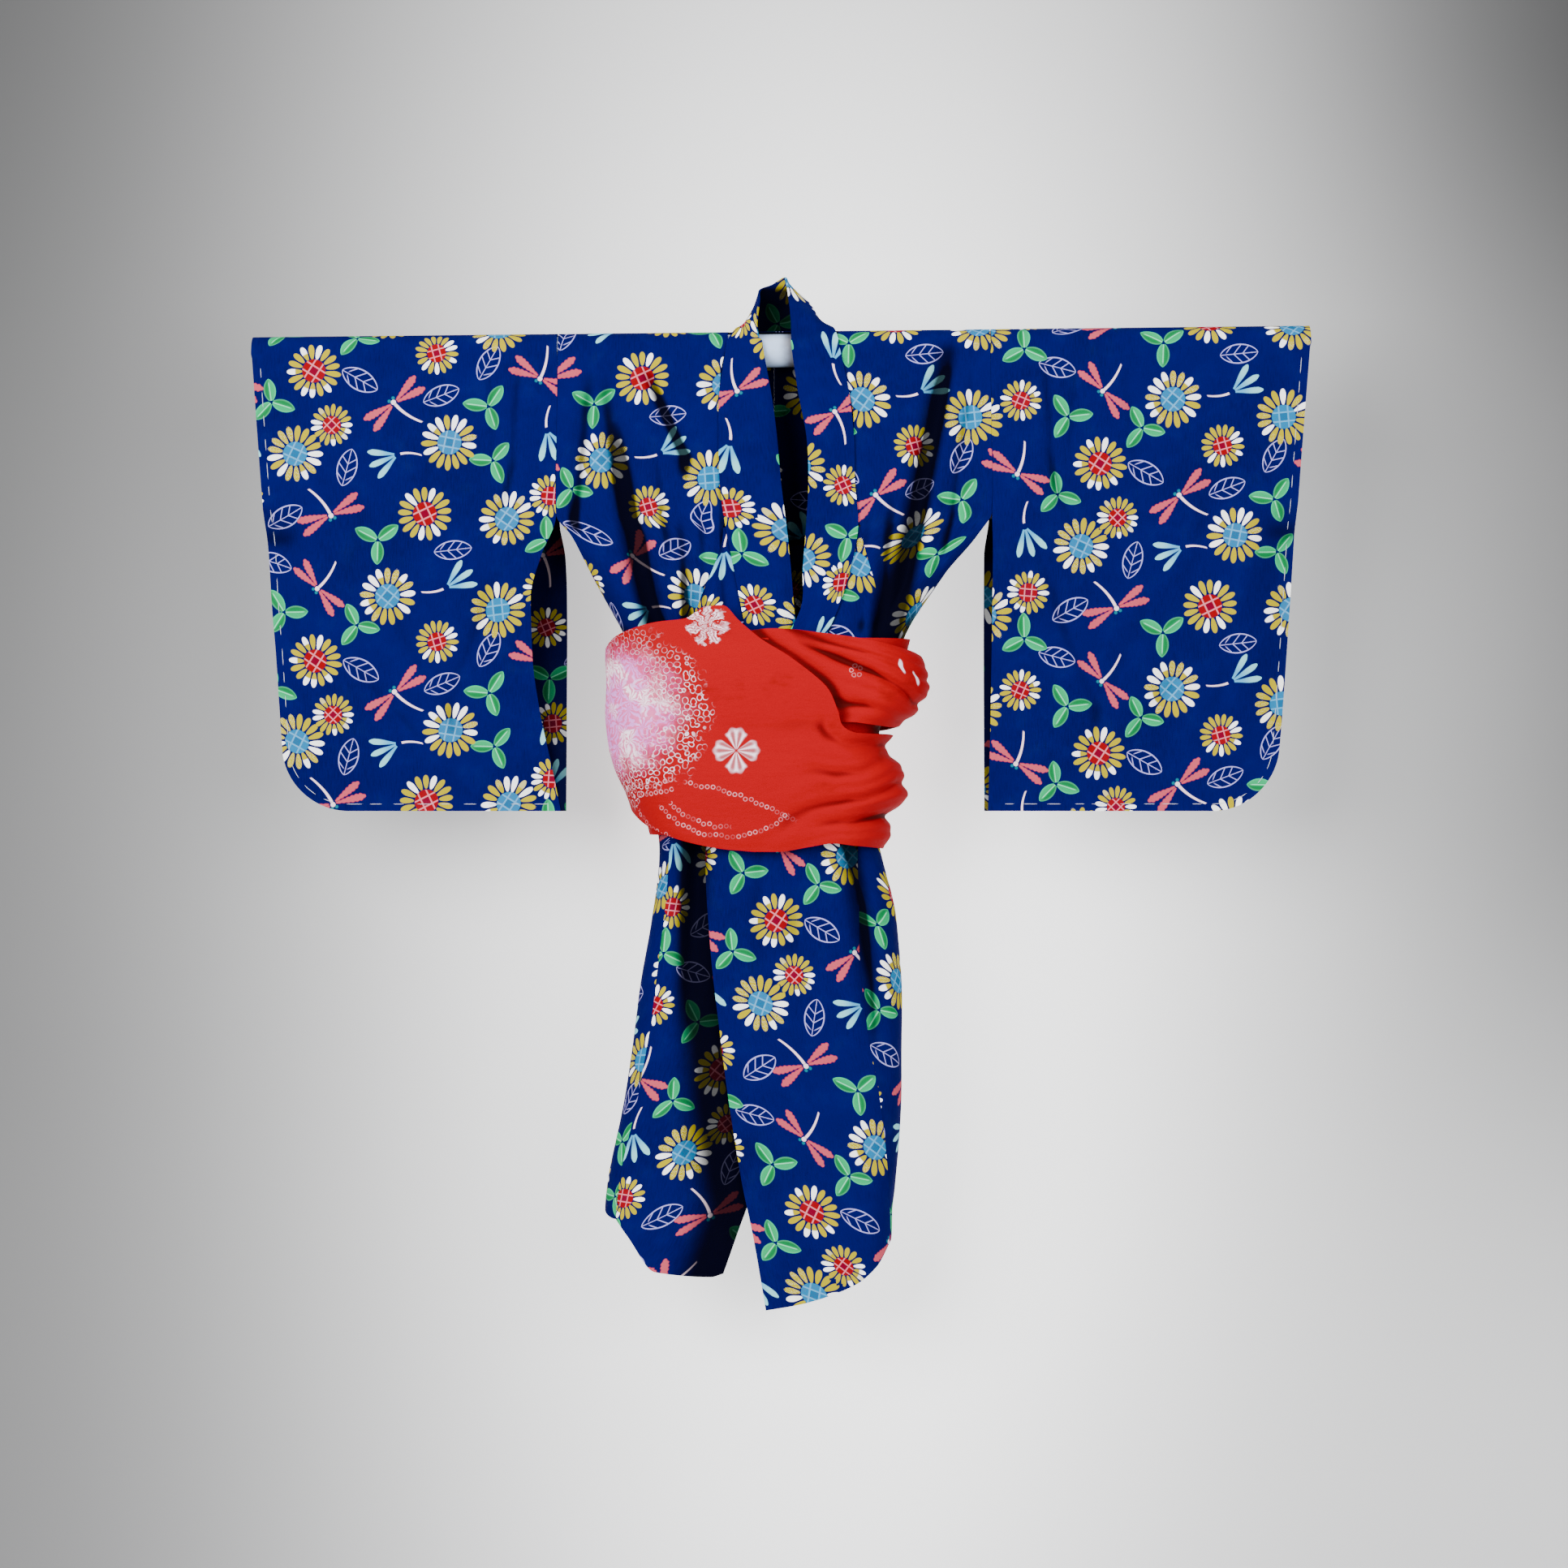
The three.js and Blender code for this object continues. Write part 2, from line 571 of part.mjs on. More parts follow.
function collar() {
  const stations = collarStations();
  const last = stations.length - 1;
  const pointAt = (u, v) => {
    const low = Math.min(Math.max(Math.floor(u), 0), last - 1);
    const across = (station) => {
      const split = station.middleAt;
      const [from, to, share] =
        v < split
          ? [station.free, station.mid, v / split]
          : [station.mid, station.seam, (v - split) / (1 - split)];
      return from.map((value, axis) => mix(value, to[axis], share));
    };
    const ahead = across(stations[low + 1]);
    return across(stations[low]).map((value, axis) => mix(value, ahead[axis], u - low));
  };
  return wall("collar", clothMaterial, pointAt, stations.map((_, i) => i), steps(4), collarWall);
}

// A sleeve: one cloth folded over the rod, sewn along the foot and the lower outer edge.
function sleeve(left) {
  const side = left ? 1 : -1;
  const rows = left ? sleeveLeftRows : sleeveRightRows;
  const width = Math.abs(at(rows, "z", "outer", sleeveFoot) - at(rows, "z", "front", sleeveFoot));
  const shut = clothWall + seamGap / 2;
  const corner = steps(4).map((s) => Math.sin(halfTurn * s));
  const cornerStart = 1 - sleeveCorner / width;
  const across = [
    ...steps(6).map((s) => s * cornerStart),
    ...corner.slice(1).map((s) => mix(cornerStart, 1, s)),
  ];
  const footAt = (u) => {
    const into = clamp((u - cornerStart) / (1 - cornerStart), 0, 1);
    return sleeveFoot + sleeveCorner * (1 - Math.sqrt(1 - into * into));
  };
  const layer = (u, z, back) => {
    const ring = bodyRing(z);
    const seam = (ring.left + ring.right) / 2 + side * (straightOf(ring) + seamGap);
    const inner = z > armholeFoot ? seam : at(rows, "z", back ? "back" : "front", z);
    const outer = at(rows, "z", "outer", z);
    const x = mix(inner, outer, u);
    const fall = clamp(z / sleeveFoot, 0, 1);
    const hang = mix(foldRadius, shut, 1 - (1 - fall) ** 1.25);
    const puff = 7 * Math.sin(Math.PI * fall) * (1 + 0.3 * Math.sin(u * 7 + (back ? 2 : 0)));
    const nearCuff = 1 - ease(0, 45, Math.abs(outer - x));
    const sewn = ease(cuffFoot + 20, cuffFoot - 12, z);
    const open = mix(hang + puff * (1 - nearCuff * 0.6), shut, nearCuff * sewn);
    const nearBody = 1 - ease(0, 110, Math.abs(x - inner));
    const body = at(bodyRows, "z", "half", Math.max(z, armholeFoot));
    const below = ease(armholeFoot, sleeveFoot, z);
    const joined = mix(body, shut, below);
    const depth = mix(open, joined, nearBody * (1 - below));
    const foot = ease(sleeveFoot + 46, sleeveFoot, z);
    return slant([x, (back ? 1 : -1) * mix(depth, shut, foot), z]);
  };
  const downRows = 10;
  const turnSteps = 8;
  const pointAt = (u, v) => {
    const foot = footAt(u);
    if (v < downRows) {
      return layer(u, foot * (1 - v / downRows) ** 0.9, false);
    }
    if (v > downRows + turnSteps) {
      return layer(u, foot * ((v - downRows - turnSteps) / downRows) ** 0.9, true);
    }
    const angle = (Math.PI * (v - downRows)) / turnSteps;
    const x = mix(at(rows, "z", "front", 0), at(rows, "z", "outer", 10), u);
    return slant([x, -foldRadius * Math.cos(angle), foldRadius * Math.sin(angle)]);
  };
  const down = Array.from({ length: 2 * downRows + turnSteps + 1 }, (_, i) => i);
  const ordered = left ? across : [...across].reverse();
  const name = left ? "sleeve_left" : "sleeve_right";
  return wall(name, clothMaterial, pointAt, ordered, down.reverse(), clothWall);
}

// One stretch of the sash, wound on the sash's form.
function stretch(name, rows, folds, columns) {
  const pointAt = (u, v) => {
    const turn = mix(rows[0].turn, rows[rows.length - 1].turn, u);
    const z = mix(at(rows, "turn", "top", turn), at(rows, "turn", "foot", turn), v);
    const ring = ringAt(sashRows, z, sashCrown);
    let lift = at(rows, "turn", "lift", turn);
    for (const fold of folds) {
      const grown = ease(fold.start, fold.full, turn) * (1 - ease(0.7, 1, turn));
      lift -= fold.depth * grown * Math.exp(-(((v - fold.down) / fold.width) ** 2));
    }
    const half = backArc(ring) + seamGap / 2;
    let arc = turn * half;
    if (turn > 1) {
      arc = (turn - 2) * half;
    }
    return onRing(ring, arc, lift, z);
  };
  return wall(name, sashMaterial, pointAt, steps(columns), steps(12), sashWall);
}

function underWrap() {
  const columns = 32;
  const pointAt = (u, v) => {
    const z = mix(underRows[3].z, underRows[0].z, v);
    const ring = ringAt(underRows, z, sashCrown);
    return onRing(ring, (2 * u - 1) * (backArc(ring) + seamGap / 2), 0, z);
  };
  const around = steps(columns).slice(0, columns);
  return wall("sash_under", sashMaterial, pointAt, around, steps(3), sashWall, true);
}

function rod() {
  const geometry = new THREE.CylinderGeometry(rodRadius, rodRadius, rodLength, 48);
  geometry.rotateZ(-halfTurn);
  geometry.rotateY(-Math.atan(rodSlope));
  const mesh = new THREE.Mesh(geometry, rodMaterial);
  mesh.name = "rod";
  return mesh;
}

const yukata = new THREE.Group();
yukata.add(
  rod(),
  sleeve(true),
  sleeve(false),
  frontPanel(true),
  frontPanel(false),
  backPanel(true),
  backPanel(false),
  okumi(true),
  okumi(false),
  collar(),
  underWrap(),
  stretch("sash_upper", upperStretch, upperSashFolds, 26),
  stretch("sash_front", frontStretch, frontSashFolds, 40),
);

export default yukata;
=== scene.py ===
import math

import bpy
import numpy as np
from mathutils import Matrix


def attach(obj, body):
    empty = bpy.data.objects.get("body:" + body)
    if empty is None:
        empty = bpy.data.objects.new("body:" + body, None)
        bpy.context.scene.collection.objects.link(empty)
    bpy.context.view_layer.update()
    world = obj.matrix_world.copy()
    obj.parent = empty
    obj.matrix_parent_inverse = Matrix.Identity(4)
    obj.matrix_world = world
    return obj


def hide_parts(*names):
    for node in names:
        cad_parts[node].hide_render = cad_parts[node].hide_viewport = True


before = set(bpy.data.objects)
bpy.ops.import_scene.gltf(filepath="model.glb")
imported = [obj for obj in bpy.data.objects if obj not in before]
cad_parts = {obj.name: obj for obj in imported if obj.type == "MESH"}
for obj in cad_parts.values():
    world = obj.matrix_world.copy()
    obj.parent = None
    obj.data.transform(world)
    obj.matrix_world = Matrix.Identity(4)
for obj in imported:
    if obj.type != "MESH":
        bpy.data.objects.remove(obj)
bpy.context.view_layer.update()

# A child's yukata on a rod, gathered by a wound sash. Lengths are in millimetres until a mesh is made.
# The front faces -Y and the wearer's left is +X.

toMetres = 0.001
quarterTurn = math.pi / 2

form = {
    "clothThickness": 0.8,
    "collarThickness": 1.8,
    "sashThickness": 1.0,
    "seamGap": 0.12,
    "backSeam": 0.008,
    "foldRadius": 16.3,
    "rodSlope": 0.011,
    "sleeveFoot": -392,
    "sleeveCorner": 52,
    "armholeFoot": -141,
    "cuffFoot": -150,
    "hemBack": -726,
    "collarEnd": -327,
    "okumiTop": -152,
    "evenFoot": -712,
    "rowFoot": -760,
    "sashCrown": 0.12,
    "backWidth": 168,
    "backFolds": 3,
    "topGap": 0.05,
    "tautTop": 4,
    "tautFoot": -60,
    "foldEnd": 1.35,
}

# The sash presses the cloth flat between its top and its foot: where that starts and is full.
sashHold = {"share": 0.75, "topStart": -232, "topFull": -250, "footStart": -405, "footFull": -424}
# The wearer's right side lies this far behind the left's free edge, and beyond it on the way there.
underDrop = {"depth": 6.5, "start": -222, "full": -246, "far": 30, "near": 6}
# The sum of slow waves that keeps hung cotton from being even.
unevenness = {"waves": 5, "shortest": 38, "longer": 17, "height": 0.12, "higher": 0.05,
              "turn": 1.7, "spread": 2.4, "squash": 0.6}
# Shade drawn into the folds and beside the left's free edge, as a depth below the cloth round it.
shading = {"folds": 0.32, "foldsTop": (16, -6), "edge": 3.2, "near": 3, "narrow": 34, "wide": 62,
           "widens": (-420, -700), "edgeTop": (-385, -415), "spread": 1.25}


def columns(names, *rows):
    # a table: one array for each named column
    return dict(zip(names.split(), np.array(rows, float).T))


# The body's section at each height: a flat ring with round ends, from left to right. half: half its
# depth. crown: its bulge, as a share. turn and shift: the side seam, in quarter turns of the round end
# and in lengths beyond them.
bodyRows = columns(
    "z left right half crown turn shift",
    (-830, -150, 94, 27, 0.16, 1, 70),
    (-733, -150, 95, 27, 0.16, 1, 70),
    (-712, -148, 97, 27, 0.16, 1, 70),
    (-625, -131, 102, 28, 0.18, 1, 70),
    (-544, -120, 103, 28, 0.2, 1, 66),
    (-486, -111, 98, 28, 0.22, 1, 60),
    (-426, -104, 84, 28, 0.24, 1, 48),
    (-405, -106, 79, 28, 0.24, 1, 42),
    (-330, -124, 76, 28, 0.14, 1, 26),
    (-285, -128, 90, 29, 0.12, 1, 14),
    (-245, -133, 105, 31, 0.06, 1, 3),
    (-228, -141, 114, 32, 0.04, 0.94, 0),
    (-190, -168, 147, 30, 0.02, 0.56, 0),
    (-156, -200, 190, 27, 0, 0.14, 0),
    (-141, -216, 204, 26, 0, 0, 0),
    (-70, -211, 199, 21, 0, 0, 0),
    (0, -205.7, 193.7, 16.3, 0, 0, 0),
    (20, -205.7, 193.7, 16.3, 0, 0, 0),
)

# The front edges, as X at each height.
edgeRows = columns(
    "z okumiLeft seamLeft okumiRight seamRight",
    (-830, -10, 93.5, -66, -143),
    (-749, -24, 93, -37, -141),
    (-706, -33, 91, -22, -137),
    (-631, -45, 83, -6, -121),
    (-577, -52, 73, 4, -111),
    (-504, -60, 66, 10, -102),
    (-432, -64, 66, 12, -95),
    (-332, -62, 66, 32, -92),
    (-245, 4, 83, 12, -78),
    (-218, 17, 82, 9, -70),
    (-152, 21, 67, 3, -49),
    (-60, 20, 60, -8, -52),
)
# The collar's edges and crease on the fronts, as X at each height.
collarRows = columns(
    "z freeLeft seamLeft freeRight creaseRight seamRight",
    (-332, -62, -24, 32, 27, -8),
    (-285, -32, 8, 22, 16, -20),
    (-245, 4, 38, 12, 6, -29),
    (-218, 17, 49, 10, 2, -34),
    (-192, 18, 57, 8, -1, -39),
    (-152, 21, 65, 4, -6, -47),
    (-112, 23, 62, -1, -10, -52),
    (-59, 20, 61, -6, -12, -53),
    (-20, 10, 53, -12, -14, -51),
    (8, 8.5, 48, -18, -19, -45),
)
# Its free edge, crease and seam round the neck, from the right shoulder to the left.
neckRows = columns(
    "freeX freeY freeZ midX midY midZ seamX seamY seamZ",
    (-20, -19, 20, -28, -15, 19, -37, -8, 17.8),
    (-18, -9, 41, -25, -2, 31, -31, 4, 17.6),
    (-17, 2, 52, -20, 9, 36, -22, 9, 17),
    (-7, 7, 57, -8, 15, 37, -9, 11, 16.8),
    (2, 6, 63, 4, 15, 39, 5, 11, 16.8),
    (4, -3, 57, 16, 6, 46, 20, 10, 17),
    (6, -11, 44, 27, -2, 33, 34, 5, 17.6),
    (8, -18, 24, 28, -16, 22, 43, -6, 17.8),
)

# Troughs in the front cloth, then finer creases: top and foot of the line, bow, depth, width to -X and +X.
foldNames = "topX topZ footX footZ bow depth toLeft toRight grow"
frontFolds = columns(
    foldNames,
    (146, 22, 92, -250, 3, 11, 11, 6, 0.3),
    (92, -120, 82, -250, 0, 6, 7, 7, 1),
    (-154, 10, -104, -250, -6, 9, 8, 10, 0.9),
    (-88, -130, -77, -250, 0, 6, 6, 7, 1),
    (118, -175, 104, -250, 0, 4, 4, 5, 1),
    (-82, -590, -68, -400, 0, 9, 9, 9, 0.8),
    (80, -600, 56, -400, 3, 7, 10, 7, 0.5),
)
frontCreases = columns(
    foldNames,
    (164, 5, 126, -235, 2, 4.0, 9, 5, 0.35),
    (120, -60, 106, -245, 3, 3.0, 8, 5, 0.7),
    (98, -90, 82, -245, 2, 3.2, 8, 5, 0.7),
    (74, -120, 66, -245, 2, 3.0, 6, 6, 0.8),
    (-160, 18, -172, -128, 0, 5.0, 8, 8, 0.2),
    (-124, 16, -82, -90, -2, 4.6, 9, 8, 0.2),
    (-136, -60, -98, -245, -4, 4.6, 6, 9, 0.5),
    (-106, -70, -86, -245, -3, 3.4, 5, 8, 0.7),
    (-70, -90, -62, -245, -2, 3.0, 5, 7, 0.8),
    (-53, -90, -46, -245, -2, 3.2, 4, 6, 0.6),
    (-30, -560, -20, -405, 5, 1.0, 12, 10, 0.9),
    (22, -600, 8, -405, -4, 1.2, 12, 8, 0.9),
    (48, -540, 34, -405, 3, 1.4, 9, 6, 0.7),
    (92, -740, 76, -470, 6, 3.0, 9, 5, 0.5),
    (-112, -700, -88, -405, 3, 2.6, 5, 9, 0.6),
    (-84, -740, -76, -440, 2, 2.2, 5, 10, 0.6),
)
broadFolds = {name: column * (shading["spread"] if name in ("toLeft", "toRight") else 1)
              for name, column in frontFolds.items()}
# The same on the back, with X counted from the middle seam towards the side.
backCreases = columns(
    foldNames,
    (34, -60, 26, -245, 2, 3.2, 8, 8, 0.8),
    (62, -20, 48, -245, 3, 3.6, 8, 9, 0.7),
    (96, -40, 70, -245, 4, 4.0, 9, 9, 0.8),
    (130, -10, 90, -245, 5, 4.4, 9, 8, 0.7),
    (165, -50, 108, -242, 5, 4.0, 8, 7, 0.8),
    (30, -560, 22, -405, 0, 3.0, 8, 8, 0.8),
    (74, -620, 52, -405, 2, 3.4, 8, 9, 0.8),
)

# The sleeves' inner edges, on the front and the back, and their outer edges, as X at each height.
sleeveRightRows = columns(
    "z front back outer",
    (-400, -186, -183, -420),
    (-350, -196, -183, -424),
    (-307, -205, -183, -427),
    (-260, -211, -183, -430),
    (-210, -212, -183.5, -434),
    (-175, -203, -185, -436),
    (-141, -190.3, -190.3, -439),
    (20, -190.3, -190.3, -450),
)
sleeveLeftRows = columns(
    "z front back outer",
    (-400, 176, 173, 419),
    (-307, 178, 173, 427),
    (-175, 179, 174, 436),
    (-141, 178.3, 178.3, 438),
    (20, 178.3, 178.3, 450),
)
# Soft creases in the sleeves, as lines across the cloth. along: the share from the body to the cuff.
sleeveCreases = columns(
    "topAlong topZ footAlong footZ depth width",
    (0.13, -4, 0.17, -150, 2.6, 5),
    (0.24, -4, 0.2, -120, 1.8, 5),
    (0.06, -150, 0.34, -330, 2.8, 9),
    (0.5, -200, 0.2, -380, 2.2, 10),
    (0.75, -60, 0.55, -260, 1.6, 12),
    (0.9, -180, 0.62, -360, 1.8, 11),
    (0.4, -6, 0.46, -170, 1.5, 7),
    (0.08, -60, 0.3, -200, 1.8, 6),
    (0.66, -250, 0.36, -350, 1.6, 8),
)

# The rings that the sash's outer stretches and its inner turn lie on.
sashRows = columns(
    "z left right half",
    (-440, -100, 84, 39),
    (-424, -108, 87, 41),
    (-411, -118, 94, 43),
    (-398, -124, 93, 44),
    (-378, -131, 108, 46),
    (-356, -141, 104, 47),
    (-338, -146, 93, 47),
    (-322, -148, 99, 47),
    (-308, -149, 117, 48),
    (-285, -148, 127, 49),
    (-263, -149, 121, 48),
    (-246, -148, 106, 46),
    (-215, -138, 98, 44),
)
underRows = columns(
    "z left right half",
    (-412, -112, 84, 33),
    (-330, -131, 83, 35),
    (-290, -134, 98, 36),
    (-246, -138, 110, 36),
)
# The sash's stretches by turn: 0 is the middle of the front, 1 and -1 the middle of the back.
frontStretch = columns(
    "turn top foot lift",
    (-0.94, -250, -404, 3),
    (-0.7, -252, -402, 3),
    (-0.5, -254, -392, 1),
    (-0.4, -243, -404, 0),
    (-0.28, -233, -417, 0),
    (-0.2, -230, -422, 0),
    (-0.15, -220, -424, 0),
    (-0.1, -219, -425, 0),
    (-0.05, -231, -426, 0),
    (0.03, -252, -426, 0),
    (0.14, -285, -422, 0),
    (0.22, -314, -419, 0),
    (0.3, -326, -421, 0),
    (0.5, -328, -424, 0),
    (0.7, -331, -414, -2),
    (1.12, -333, -408, -5),
)
upperStretch = columns(
    "turn top foot lift",
    (-0.12, -246, -312, -8),
    (0.05, -238, -316, -8),
    (0.16, -241, -318, -7),
    (0.26, -245, -317, -4),
    (0.33, -249, -319, -1),
    (0.42, -256, -321, 0),
    (0.5, -261, -320, 0),
    (0.6, -257, -323, -1),
    (0.8, -249, -328, -4),
    (1.15, -250, -330, -5),
)
# The sash's folds, as lines along it. down: the share of its width; start and full: the turns at which
# a fold begins and is deepest; slant: how far it moves down for each turn.
sashFoldNames = "down depth width start full slant"
frontSashFolds = columns(
    sashFoldNames,
    (0.1, 3.4, 0.05, 0.1, 0.4, -0.2),
    (0.28, 3.4, 0.05, -0.02, 0.36, -1.3),
    (0.52, 4.4, 0.05, -0.1, 0.38, -1.2),
    (0.76, 5, 0.05, 0.02, 0.4, -0.6),
    (0.19, 0.8, 0.035, 0.0, 0.3, -1.2),
    (0.4, 1.1, 0.03, -0.1, 0.35, -1.3),
    (0.64, 0.9, 0.035, -0.15, 0.3, -0.9),
    (0.88, 0.9, 0.03, -0.2, 0.3, -0.4),
)
upperSashFolds = columns(
    sashFoldNames,
    (0.26, 2.4, 0.05, -0.02, 0.2, 1.0),
    (0.54, 5, 0.07, 0.06, 0.2, 1.7),
    (0.86, 3, 0.05, 0.1, 0.3, 0.6),
    (0.4, 1.0, 0.04, 0.0, 0.2, 1.4),
    (0.72, 1.2, 0.04, 0.12, 0.3, 1.2),
    (0.12, 0.8, 0.035, 0.05, 0.3, 0.5),
)
# The okumi's hems: the height for each share of the width, from the free edge to the seam.
hemLeft = columns("u z", (0, -813), (0.32, -807), (0.7, -793), (0.89, -777), (1, -757))
hemRight = columns("u z", (0, -782), (0.1, -785), (0.62, -781), (0.9, -750), (1, -737))


def mix(start, end, share):
    # straight between two values
    return start + (end - start) * share


def ease(start, end, value):
    # 0 before the start, 1 past the end, an even S between
    share = np.clip((value - start) / (end - start), 0, 1)
    return share * share * (3 - 2 * share)


def at(table, key, column, value):
    # a smooth curve through the rows that never passes their own values: harmonic slopes, cubic between
    keys, heights = table[key], table[column]
    where = np.clip(value, keys[0], keys[-1])
    low = np.clip(np.searchsorted(keys, where, side="right") - 1, 0, len(keys) - 2)
    steps = np.diff(keys)
    slopes = np.diff(heights) / steps
    before, after = slopes[:-1], slopes[1:]
    same = before * after > 0
    bends = np.zeros(len(keys))
    bends[1:-1][same] = 2 * before[same] * after[same] / (before[same] + after[same])
    bends[0], bends[-1] = slopes[0], slopes[-1]
    t = (where - keys[low]) / steps[low]
    rise = heights[low + 1] - heights[low]
    curve = t * (1 - t) ** 2 * bends[low] - t * t * (1 - t) * bends[low + 1]
    return heights[low] + t * t * (3 - 2 * t) * rise + steps[low] * curve


def straightOf(ring):
    # half the straight part of a ring: half its width less its half depth
    return (ring["right"] - ring["left"]) / 2 - ring["half"]


def onRing(ring, arc, lift, z):
    # a point an arc length round a flat ring with round ends, counted from the middle of its front:
    # straight, then sine and cosine of the angle turned, bulged by the crown's parabola
    straight = straightOf(ring)
    middle = (ring["right"] + ring["left"]) / 2
    way = np.abs(arc)
    radius = ring["half"] + lift
    angle = np.clip((way - straight) / ring["half"], 0, math.pi)
    past = np.maximum(way - straight - math.pi * ring["half"], 0)
    x = np.where(way > straight, straight + radius * np.sin(angle) - past, way)
    y = -radius * np.cos(angle)
    out = 1 + ring["crown"] * (1 - (x / (straight + ring["half"])) ** 2)
    return np.stack([middle + np.where(arc < 0, -1, 1) * x, y * out, z + 0 * x], -1)


def ringAt(rows, z, crown):
    # a flat ring's ends and half depth at a height
    return {"left": at(rows, "z", "left", z), "right": at(rows, "z", "right", z),
            "half": at(rows, "z", "half", z), "crown": crown}


def heightOf(h):
    # heights above 0 are lengths of cloth up over the rod: its radius times the sine of length / radius
    over = form["foldRadius"] * np.sin(np.maximum(h, 0) / form["foldRadius"])
    return np.where(h > 0, over, h)


def bodyRing(h):
    # the body's ring, drawn in over the rod by what its half circle falls short there
    ring = ringAt(bodyRows, h, at(bodyRows, "z", "crown", h))
    shrink = np.where(h > 0, ring["half"] - form["foldRadius"] * np.cos(h / form["foldRadius"]), 0)
    ring["half"] = ring["half"] - shrink
    ring["left"] = ring["left"] + shrink
    ring["right"] = ring["right"] - shrink
    return ring


def arcOfX(ring, x):
    # the arc length at which a ring's front reaches X: straight, then the arcsine of the round end
    straight = straightOf(ring)
    off = x - (ring["right"] + ring["left"]) / 2
    past = np.clip((np.abs(off) - straight) / ring["half"], 0, 1)
    return np.sign(off) * (np.minimum(np.abs(off), straight) + ring["half"] * np.arcsin(past))


def sideArc(ring, h, back):
    # the arc length of the side seam, counted from the front's middle or, mirrored, from the back's
    turn = at(bodyRows, "z", "turn", h)
    quarter = ring["half"] * quarterTurn
    gap = form["seamGap"] / 2
    turned = 2 - turn if back else turn
    return straightOf(ring) + quarter * turned + at(bodyRows, "z", "shift", h) + (gap if back else -gap)


def backArc(ring):
    # the arc length of the middle seam behind: half the ring's way round, less the gap
    return 2 * straightOf(ring) + math.pi * ring["half"] - form["seamGap"] / 2


def foldLift(folds, x, z):
    # each fold is a trough along a bowed line: depth * held ** grow * exp(-(distance / width) ** 2), with
    # a width of its own on each side
    lift = 0 * x
    for i in range(len(folds["depth"])):
        f = {name: column[i] for name, column in folds.items()}
        along = (z - f["topZ"]) / (f["footZ"] - f["topZ"])
        held = np.clip(along, 0, 1)
        line = mix(f["topX"], f["footX"], held) + f["bow"] * 4 * held * (1 - held)
        width = np.where(x < line, f["toLeft"], f["toRight"])
        fade = 1 - ease(1, form["foldEnd"], along)
        lift = lift - f["depth"] * held ** f["grow"] * fade * np.exp(-(((x - line) / width) ** 2))
    return lift


def underLift(x, z):
    # the wearer's right side drops behind the left's free edge
    edge, drop = at(edgeRows, "z", "okumiLeft", z), underDrop
    behind = ease(edge - drop["far"], edge - drop["near"], x)
    return -drop["depth"] * ease(drop["start"], drop["full"], z) * behind


def heldBySash(z):
    # 1 away from the sash, less where it presses the folds flat
    hold = sashHold
    pressed = ease(hold["topStart"], hold["topFull"], z) - ease(hold["footStart"], hold["footFull"], z)
    return 1 - hold["share"] * pressed


def slant(points):
    # tilts the rod, and what hangs near it: the slope times X, fading to nothing at the sleeves' foot
    share = np.clip(1 + points[..., 2] / -form["sleeveFoot"], 0, 1)
    lifted = points.copy()
    lifted[..., 2] += form["rodSlope"] * points[..., 0] * share
    return lifted


def ripple(x, z, seed):
    # a sum of a few long sine waves, each turned a little further: the unevenness of hung cotton
    look, waves = unevenness, 0 * x
    for i in range(look["waves"]):
        angle = seed * look["turn"] + i * look["spread"]
        length = look["shortest"] + look["longer"] * i
        across = x * math.cos(angle) + z * math.sin(angle) * look["squash"]
        height = look["height"] + look["higher"] * i
        waves = waves + np.sin(across * 2 * math.pi / length + seed + i) * height
    return waves


def frontPoint(arc, h, under, extra=0):
    # a point of the front: the body's ring, lifted by folds, creases and ripple where it hangs free
    z = heightOf(h)
    ring = bodyRing(h)
    flat = onRing(ring, arc, 0, z)
    straight = straightOf(ring)
    onFront = 1 - ease(straight, straight + ring["half"], np.abs(arc))
    taut = ease(form["tautTop"], form["tautFoot"], z)
    x = flat[..., 0]
    lift = (foldLift(frontFolds, x, z) + foldLift(frontCreases, x, z)) * onFront * taut * heldBySash(z)
    lift = lift + ripple(arc, z, 1.3) * taut * heldBySash(z)
    if under:
        lift = lift + underLift(x, z)
    return slant(onRing(ring, arc, lift + extra, z))


def bodyPoint(x, h, under, extra):
    # a point of the front at X
    return frontPoint(arcOfX(bodyRing(h), x), h, under, extra)


def panelRows(step):
    # a panel's rows: from just short of the rod's top down to the hem's own rows
    return spaced(form["foldRadius"] * quarterTurn - form["topGap"], form["rowFoot"], step)


def shadeFolds(points):
    # the depths of the folds from the sash lie in shade, from the shoulders down
    x, z = points[..., 0], points[..., 2]
    sunk = -foldLift(broadFolds, x, z) * (points[..., 1] < 0)
    return shading["folds"] * sunk * ease(*shading["foldsTop"], z)


def shadeUnder(points):
    # the right side also lies in shade beside the left's free edge, or along its own below that
    x, z = points[..., 0], points[..., 2]
    edge = np.minimum(at(edgeRows, "z", "okumiLeft", z), at(edgeRows, "z", "okumiRight", z))
    reach = mix(shading["narrow"], shading["wide"], ease(*shading["widens"], z))
    beside = ease(edge - reach, edge - shading["near"], x) * ease(*shading["edgeTop"], z)
    return shadeFolds(points) + shading["edge"] * beside


def toHem(v, hem):
    # rows keep their height down to the even foot, then spread to the hem's own line
    even, foot = form["evenFoot"], form["rowFoot"]
    return np.where(v >= even, v, mix(even, hem, (even - v) / (even - foot)))


def downCloth(points, v):
    # lengths down the cloth: the row's own above the even rows' foot, the height below it
    return np.where(v >= form["evenFoot"], v, points[..., 2])


